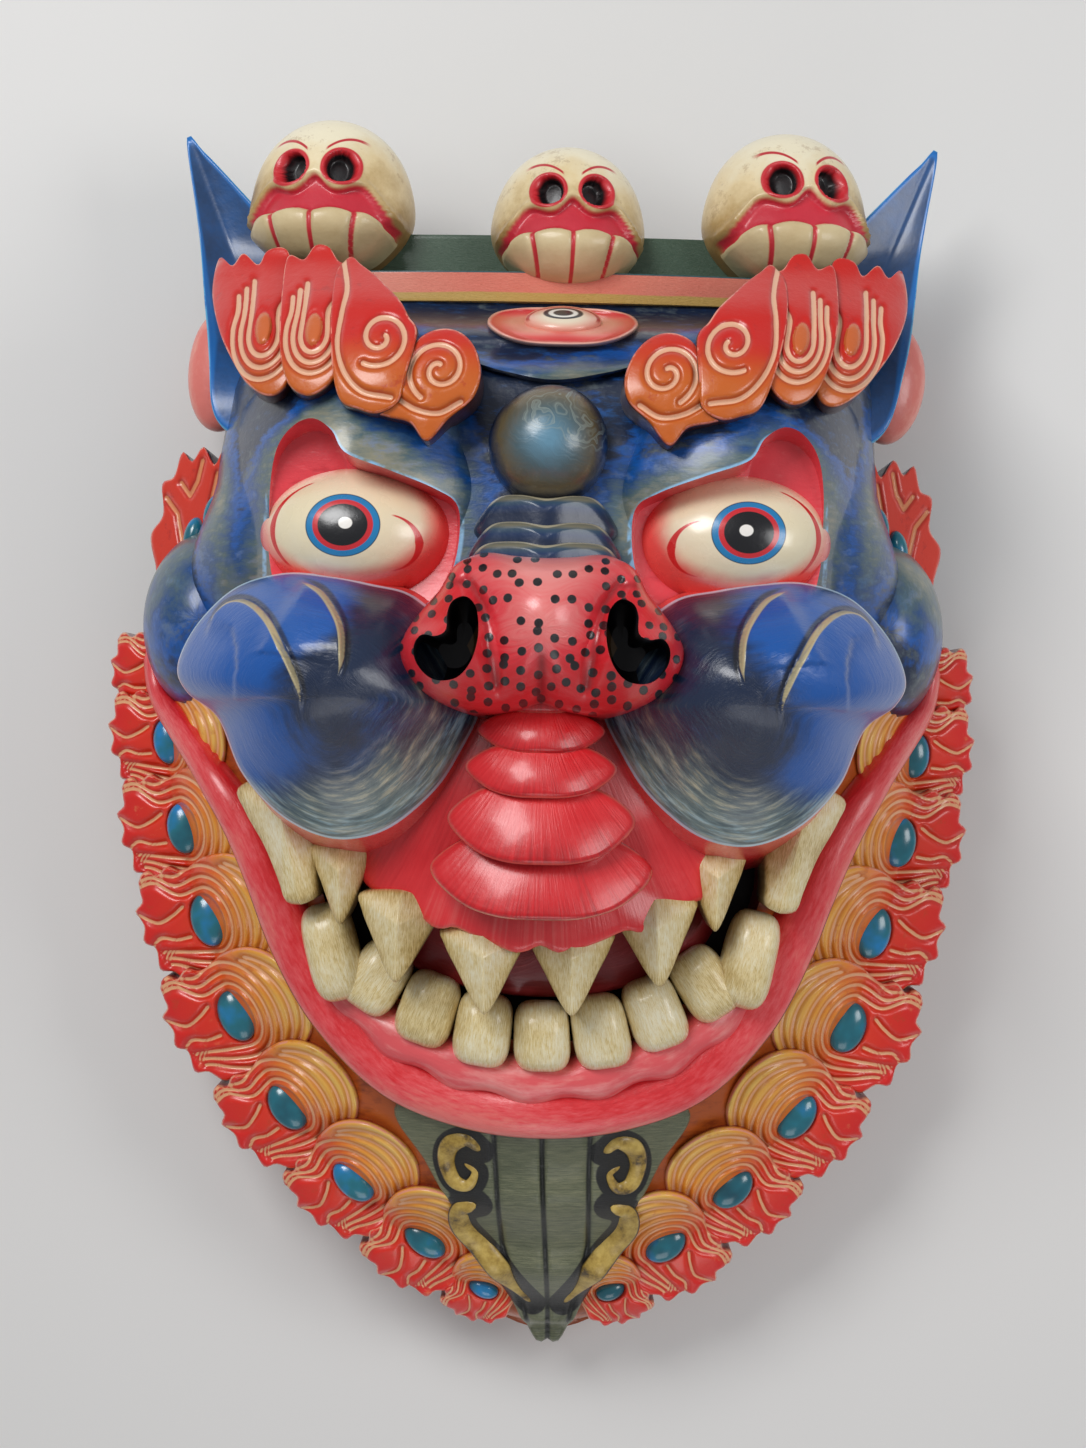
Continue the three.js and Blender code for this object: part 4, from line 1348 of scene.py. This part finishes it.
def block(name, centre, radii, lean_by=0):
    """A blunt glossy tooth: a ball pushed out towards a box."""
    tooth, _, _ = ball(name, 48, 34)
    a, b, c = points(tooth).T
    square = (np.abs(a) ** 3.4 + np.abs(b) ** 3.4 + np.abs(c) ** 2.4) ** (-1 / 3.0)
    a, b, c = a * square, b * square, c * square
    wide = 1 - 0.12 * ease(-1, 1, b) + 0.05 * b
    x, y = a * radii[0] * wide, b * radii[1]
    tilt = radians(lean_by)
    x, y = x * cos(tilt) - y * sin(tilt), x * sin(tilt) + y * cos(tilt)
    put(tooth, x + centre[0], y + centre[1], c * radii[2] + centre[2])
    note(tooth, "carve", 6 + 6 * c, 0 * c, 0 * c)
    note(tooth, "look", b * radii[1], a * radii[0], c)
    return dress(tooth, ivory)


MOUTH_SHIFT = -7
FANGS = [
    ((23, -98), (23, -142), 22, 219), ((67, -82), (70, -127), 22, 213), ((100, -56), (100, -98), 16, 204)
]
BLOCKS = [(90, -130, 166, 34), (62, -146, 171, 20), (32, -156, 175, 9)]
uppers, lowers = [], []
for side in (1, -1):
    word = "right" if side > 0 else "left"
    for number, (root, tip, half, front) in enumerate(FANGS):
        ends = [(side * px + MOUTH_SHIFT, py) for px, py in (root, tip)]
        uppers.append(fang(f"fang_{number}_{word}", *ends, half, front, 160))
    uppers.append(fang(f"corner_{word}", (side * 141, -22), (side * 128, -88), 23, 200, 152, 0.36, 12))
    lowers.append(block(f"tusk_{word}", (side * 114, -116, 168), (15.5, 27, 20), side * -14))
    for number, (x0, y0, z0, tilt) in enumerate(BLOCKS):
        lowers.append(block(f"block_{number}_{word}", (side * x0, y0, z0), (16.6, 20, 19), side * tilt))
lowers.append(block("block_middle", (0, -159, 176), (16.4, 19, 19)))
hand_in(whole("upper_teeth", *uppers))
hand_in(whole("lower_teeth", *lowers))


def sweep(name, path, side, high, around=28, rings=140):
    """A closed roll along a line. side(u) and high(u) are its half-widths across and upwards."""
    piece, p, turn = ball(name, around, rings)
    nudge = 0.004
    ahead = path(np.clip(p + nudge, 0, 1)) - path(np.clip(p - nudge, 0, 1))
    ahead /= np.maximum(np.linalg.norm(ahead, axis=1), 1e-9)[:, None]
    across = np.stack([-ahead[:, 1], ahead[:, 0], 0 * p], 1)
    across /= np.maximum(np.linalg.norm(across, axis=1), 1e-9)[:, None]
    close = np.sqrt(np.clip(np.sin(pi * p) * rings / 9, 0, 1))
    place = path(p) + across * (np.cos(turn) * side(p) * close)[:, None]
    place[:, 2] += np.sin(turn) * high(p) * close
    put(piece, *place.T)
    note(piece, "carve", np.cos(turn), p, np.sin(turn))
    note(piece, "grain", p * path.length / 20, np.cos(turn) * 3, np.sin(turn))
    return piece


gum_pink = red_lacquer("gum_pink", (0.45, 0.02, 0.03), (0.78, 0.10, 0.11), (0.86, 0.28, 0.26))
GUM = [
    (-126, -106, 142), (-112, -136, 150), (-68, -168, 163), (0, -184, 168), (68, -168, 163), (112, -136, 150),
    (126, -106, 142),
]
gum = sweep("gum", line(GUM), lambda u: 13 + 2.2 * np.cos(u * 2 * pi * 8.4), lambda u: 15 + 0 * u, rings=200)
PALATE = both_halves([(0, -96), (50, -90), (90, -74), (100, -92), (84, -118), (44, -134), (0, -139)])


def palate_top(x, y, t):
    return 172 + 8 * (1 - t**2) - 0.002 * x**2


palate = pad("palate", PALATE, (0, -112), palate_top, 128, around=128, rings=36, round_over=3)
board_edge = [(px * 1.06, (py + 124) * 1.1 - 124) for px, py in MOUTH]
board = pad("board", board_edge, (0, -124), level(127), 116, around=96, rings=24, round_over=0)
slot_edge = both_halves([(0, -104), (76, -96), (62, -118), (0, -132)])
slot = pad("slot", slot_edge, (0, -117), level(128.5), 105, around=64, rings=20, round_over=0)
# The board behind the mouth is painted near black: painted shade for the dark hollow of the open mouth.
black = Finish("mouth_black", 0.1).finish((0.012, 0.004, 0.005), 0.6)
combine(dress(board, black, wood), dress(slot, black, wood), "DIFFERENCE")
hand_in(whole("mouth_inside", dress(gum, gum_pink), dress(palate, maroon, maroon), board))


def lip_finish():
    paint = Finish("lip_red", 0.7)
    across, _, _ = paint.field("carve")
    strokes = paint.noise(2.2, 5, paint.vector("grain"), 0.65)
    cloud = paint.noise(12, 4)
    tone = across * 0.28 + (cloud - 0.5) * 0.9 + (strokes - 0.5) * 0.8 + 0.5
    colour = paint.ramp(
        tone,
        [
            (0.2, (0.83, 0.17, 0.15)), (0.42, (0.80, 0.075, 0.085)), (0.62, (0.72, 0.018, 0.025)),
            (0.9, (0.56, 0.006, 0.012)),
        ],
    )
    colour = paint.mix(paint.step(across, -0.90, -0.97), colour, (0.05, 0.003, 0.006))
    return paint.finish(colour, 0.25 + cloud * 0.2, strokes * 0.8 + paint.noise(110, 3) * 0.3, 0.0006)


LIP_HALF = [
    (230, 56, 92), (224, 26, 98), (204, 2, 108), (184, -22, 118), (166, -48, 128), (151, -80, 138),
    (136, -114, 146), (112, -152, 152), (80, -184, 158), (40, -199, 162),
]
LIP_HALF = [(x, y, max(z, height(skin, x, y) + 7)) for x, y, z in LIP_HALF]
LIP = line([*[(-x, y, z) for x, y, z in LIP_HALF], (0, -203, 166), *LIP_HALF[::-1]])
LIP_WIDE = [
    (0, 6), (0.1, 9), (0.2, 13), (0.32, 17.5), (0.42, 15), (0.5, 14.5), (0.58, 15), (0.68, 17.5), (0.8, 13),
    (0.9, 9), (1, 6),
]
lip = sweep("lower_lip", LIP, lambda u: along(LIP_WIDE, u), lambda u: 12 + 0 * u, around=40, rings=200)
hand_in(dress(lip, lip_finish()))

# ---- Chin plate ----
# A tapering grooved beard of olive green in the middle of the chin, with gilded leaf curls on it.
PLATE = both_halves([(0, -200), (80, -202), (66, -240), (44, -282), (22, -334), (8, -364), (0, -365)])
PLATE_WAYS = [
    [(0, -200), (0, -366)], [(27, -205), (25, -290), (12, -350)], [(-27, -205), (-25, -290), (-12, -350)]
]
LEAVES = [
    ([(34, -228), (42, -221), (51, -225), (54, -236), (50, -248), (42, -250), (38, -242), (44, -237)], 6),
    ([(38, -262), (48, -267), (47, -279), (38, -292), (28, -306), (19, -320), (10, -334)], 7.5),
]


def plate_finish():
    paint = Finish("chin_olive", 0.4)
    away, ink, _ = paint.field("mark")
    cloud = paint.noise(20, 4)
    _, up, high = paint.field("look")
    strokes = paint.noise(5, 5, paint.joined(away * 0.02, up * 0.34, high * 0.02), 0.7)
    colour = paint.ramp(
        strokes * 0.8 + cloud * 0.35,
        [(0.3, (0.045, 0.055, 0.028)), (0.52, (0.12, 0.135, 0.075)), (0.75, (0.26, 0.26, 0.15))],
    )
    colour = paint.mix(paint.step(away, 2.2, 0.8), colour, (0.012, 0.014, 0.01))
    colour = paint.mix(paint.step(ink, 0.5, -0.5), colour, (0.006, 0.006, 0.006))
    return paint.finish(colour, 0.4 + strokes * 0.2, strokes + cloud * 0.4, 0.0008)


def gilt_finish():
    paint = Finish("leaf_gold", 0.4)
    across, _, _ = paint.field("carve")
    cloud = paint.noise(60, 5, rough=0.7)
    colour = paint.ramp(
        cloud, [(0.34, (0.07, 0.04, 0.008)), (0.46, (0.38, 0.24, 0.04)), (0.62, (0.60, 0.42, 0.10))]
    )
    colour = paint.mix(paint.step(abs(across), 0.8, 0.95), colour, (0.008, 0.007, 0.005))
    return paint.finish(colour, 0.3 + cloud * 0.3, cloud, 0.0006)


def plate_top(x, y, t):
    ground = np.maximum(skin(0.8 * x, y) + 9 - 0.08 * np.abs(x), 56)
    return ground - 2.5 * hump(nearest(x, y, PLATE_WAYS), 1.6) + 2 * (1 - t**2)


plate = pad("chin_plate", PLATE, (0, -236), plate_top, bed, around=144, rings=60, round_over=2)
leaf_ways = [line(way)(np.linspace(0, 1, 40)) for way, _ in LEAVES]
x, y, z = points(plate).T / MM
ink = np.min([gap(np.abs(x), y, way)[0] - wide - 2 for way, (_, wide) in zip(leaf_ways, LEAVES)], axis=0)
note(plate, "mark", nearest(x, y, PLATE_WAYS), ink, 0 * x)
note(plate, "look", x, y, z)
chin_olive = plate_finish()
dress(plate, chin_olive, chin_olive)
gilt = gilt_finish()
leaves = []
for number, (way, wide) in enumerate(LEAVES):
    ground = [(px, py, height(plate_top, px, py, 1.0) + 1) for px, py in way]
    taper = [(0, 0.5), (0.3, 1), (0.6, 1 if number else 0.8), (1, 0.25)]
    leaf = sweep(
        f"leaf_{number}", line(ground), lambda u: wide * along(taper, u), lambda u: 4 * along(taper, u),
        around=24, rings=64,
    )
    leaves += [dress(leaf, gilt), twin(leaf, f"leaf_{number}_left")]
hand_in(whole("chin_plate", plate, *leaves))

# ---- Curled beard ----
# A row of nine lapping curls down each side of the jaw, every one a carved eye set with a teal bead,
# ringed in orange and breaking into red tips at the rim.
BEARD = [
    ((224, 34), 0, 0.8, 90), ((219, -3), 4, 0.92, 92), ((209, -54), 8, 1.0, 96), ((194, -107), 14, 1.06, 98),
    ((179, -163), 22, 1.06, 98), ((149, -216), 36, 1.0, 96), ((111, -259), 46, 0.95, 92),
    ((71, -296), 56, 0.9, 84), ((38, -327), 66, 0.62, 74),
]
CURL = [
    (-46, 2), (-40, 18), (-26, 27), (-8, 28), (8, 24), (16, 27), (24, 24), (30, 27), (36, 22), (36, 14),
    (42, 10), (39, 3), (42, -4), (36, -9), (37, -18), (29, -20), (22, -26), (10, -26), (-8, -28), (-28, -24),
    (-42, -14),
]


def curl_ways():
    """The carved lines of one curl: rings open outwards and licks running to the rim."""
    ways = []
    for number, (reach, tall) in enumerate(((13.5, 15), (19, 20), (25, 25))):
        ring = [(reach * cos(a) - 1, tall * sin(a)) for a in np.radians(np.linspace(75, 280, 10))]
        lick = [(38 - 4 * number, 20 + 3 * number), (26, 21 + 2.5 * number), (14, tall * 0.84 + 1)]
        hook = [(14, -tall * 0.86), (24, -tall * 0.62 - 2), (33 - 2 * number, -tall * 0.62 - 1)]
        ways.append(line([*lick, *ring, *hook])(np.linspace(0, 1, 60)))
    for reach, tall in ((32, 26), (39, 27)):
        turn = np.radians(np.linspace(118, 242, 24))
        ways.append(np.stack([reach * np.cos(turn) - 2, tall * np.sin(turn)], 1))
    ways.append(line([(40, 8), (30, 3), (20, 5), (13, 8)])(np.linspace(0, 1, 14)))
    ways.append(line([(40, -9), (31, -4), (22, -6), (13, -6)])(np.linspace(0, 1, 14)))
    return ways


CURL_WAYS = curl_ways()


def curl_finish():
    paint = Finish("beard_orange", 0.6)
    edge, _, _ = paint.field("carve")
    away, out, _ = paint.field("mark")
    cloud = paint.noise(24, 4)
    fine = paint.noise(80, 5, rough=0.7)
    body = paint.ramp(out * 0.011 + 0.5 + (cloud - 0.5) * 0.25, [
        (0.08, (0.84, 0.50, 0.10)), (0.28, (0.84, 0.34, 0.03)), (0.44, (0.82, 0.17, 0.010)),
        (0.60, (0.80, 0.035, 0.008)), (0.9, (0.74, 0.010, 0.006)),
    ])
    body = paint.mix(paint.step(fine, 0.44, 0.32) * 0.35, body, (0.50, 0.06, 0.008))
    body = paint.mix(paint.step(fine + cloud * 0.4, 0.80, 0.96) * 0.4, body, (0.82, 0.38, 0.14))
    # Darker red beside every carved line: painted shade.
    body = paint.mix(paint.step(away, 2.8, 1.0) * 0.3, body, (0.45, 0.03, 0.006))
    body = paint.mix(paint.step(away + (fine - 0.5) * 0.6, 1.0, 0.5), body, (0.86, 0.44, 0.22))
    body = paint.mix(paint.step(edge, -0.3, -6), body, (0.28, 0.014, 0.006))
    body = paint.mix(
        paint.step(abs(edge - 0.5), 0.9, 0.3) * paint.step(fine, 0.42, 0.52), body, (0.82, 0.33, 0.20)
    )
    return paint.finish(body, 0.27 + fine * 0.2, fine * 0.6 + cloud * 0.4, 0.0006)


beard_orange = curl_finish()
curls = []
for number, (at, dip, scale, front) in enumerate(BEARD):
    c, s = cos(radians(-dip)), sin(radians(-dip))
    long = scale * 1.24

    def local(x, y):
        return ((x - at[0]) * c + (y - at[1]) * s) / scale, ((y - at[1]) * c - (x - at[0]) * s) / long

    def curl_top(x, y, t):
        out, over = local(x, y)
        bead = np.hypot(out / 10, over / 12)
        ground = np.maximum(front + 5 - 0.006 * np.maximum(out, 0) ** 2, skin(x, y) + 7)
        carved = -3.4 * hump(nearest(out, over, CURL_WAYS), 1.8) * scale - 4 * ease(1.15, 0.9, bead)
        return ground + 0.20 * over + carved - 3 * ease(10, 40, out)

    outline = [
        (at[0] + scale * px * c - long * py * s, at[1] + scale * px * s + long * py * c) for px, py in CURL
    ]
    curl = pad(f"curl_{number}", outline, at, curl_top, bed, around=120, rings=50, round_over=3, face=0.84)
    x, y, z = points(curl).T / MM
    out, over = local(x, y)
    note(curl, "mark", nearest(out, over, CURL_WAYS), out + 0.25 * np.abs(over), over)
    dress(curl, beard_orange, beard_orange)
    bead_at, bead_half = (*at, height(curl_top, *at, 0) + 1), (10 * scale, 12 * long, 6)
    bead = egg(f"bead_{number}", bead_at, bead_half, 40, 24, (0, 0, -dip), sunk=False)
    curls += [curl, dress(bead, teal)]
beard = whole("beard_right", *curls)
for piece in (beard, twin(beard, "beard_left")):
    hand_in(piece)

# ---- Floor ----
# A plain pale floor under the mask. It isn't part of the object.
bpy.ops.object.select_all(action="DESELECT")
bpy.ops.mesh.primitive_plane_add(size=8, location=(0, 0, 0))
floor = bpy.context.object
floor.name = "floor"
dress(floor, Finish("pale_floor", 0.0).finish((0.78, 0.77, 0.75), 0.8))
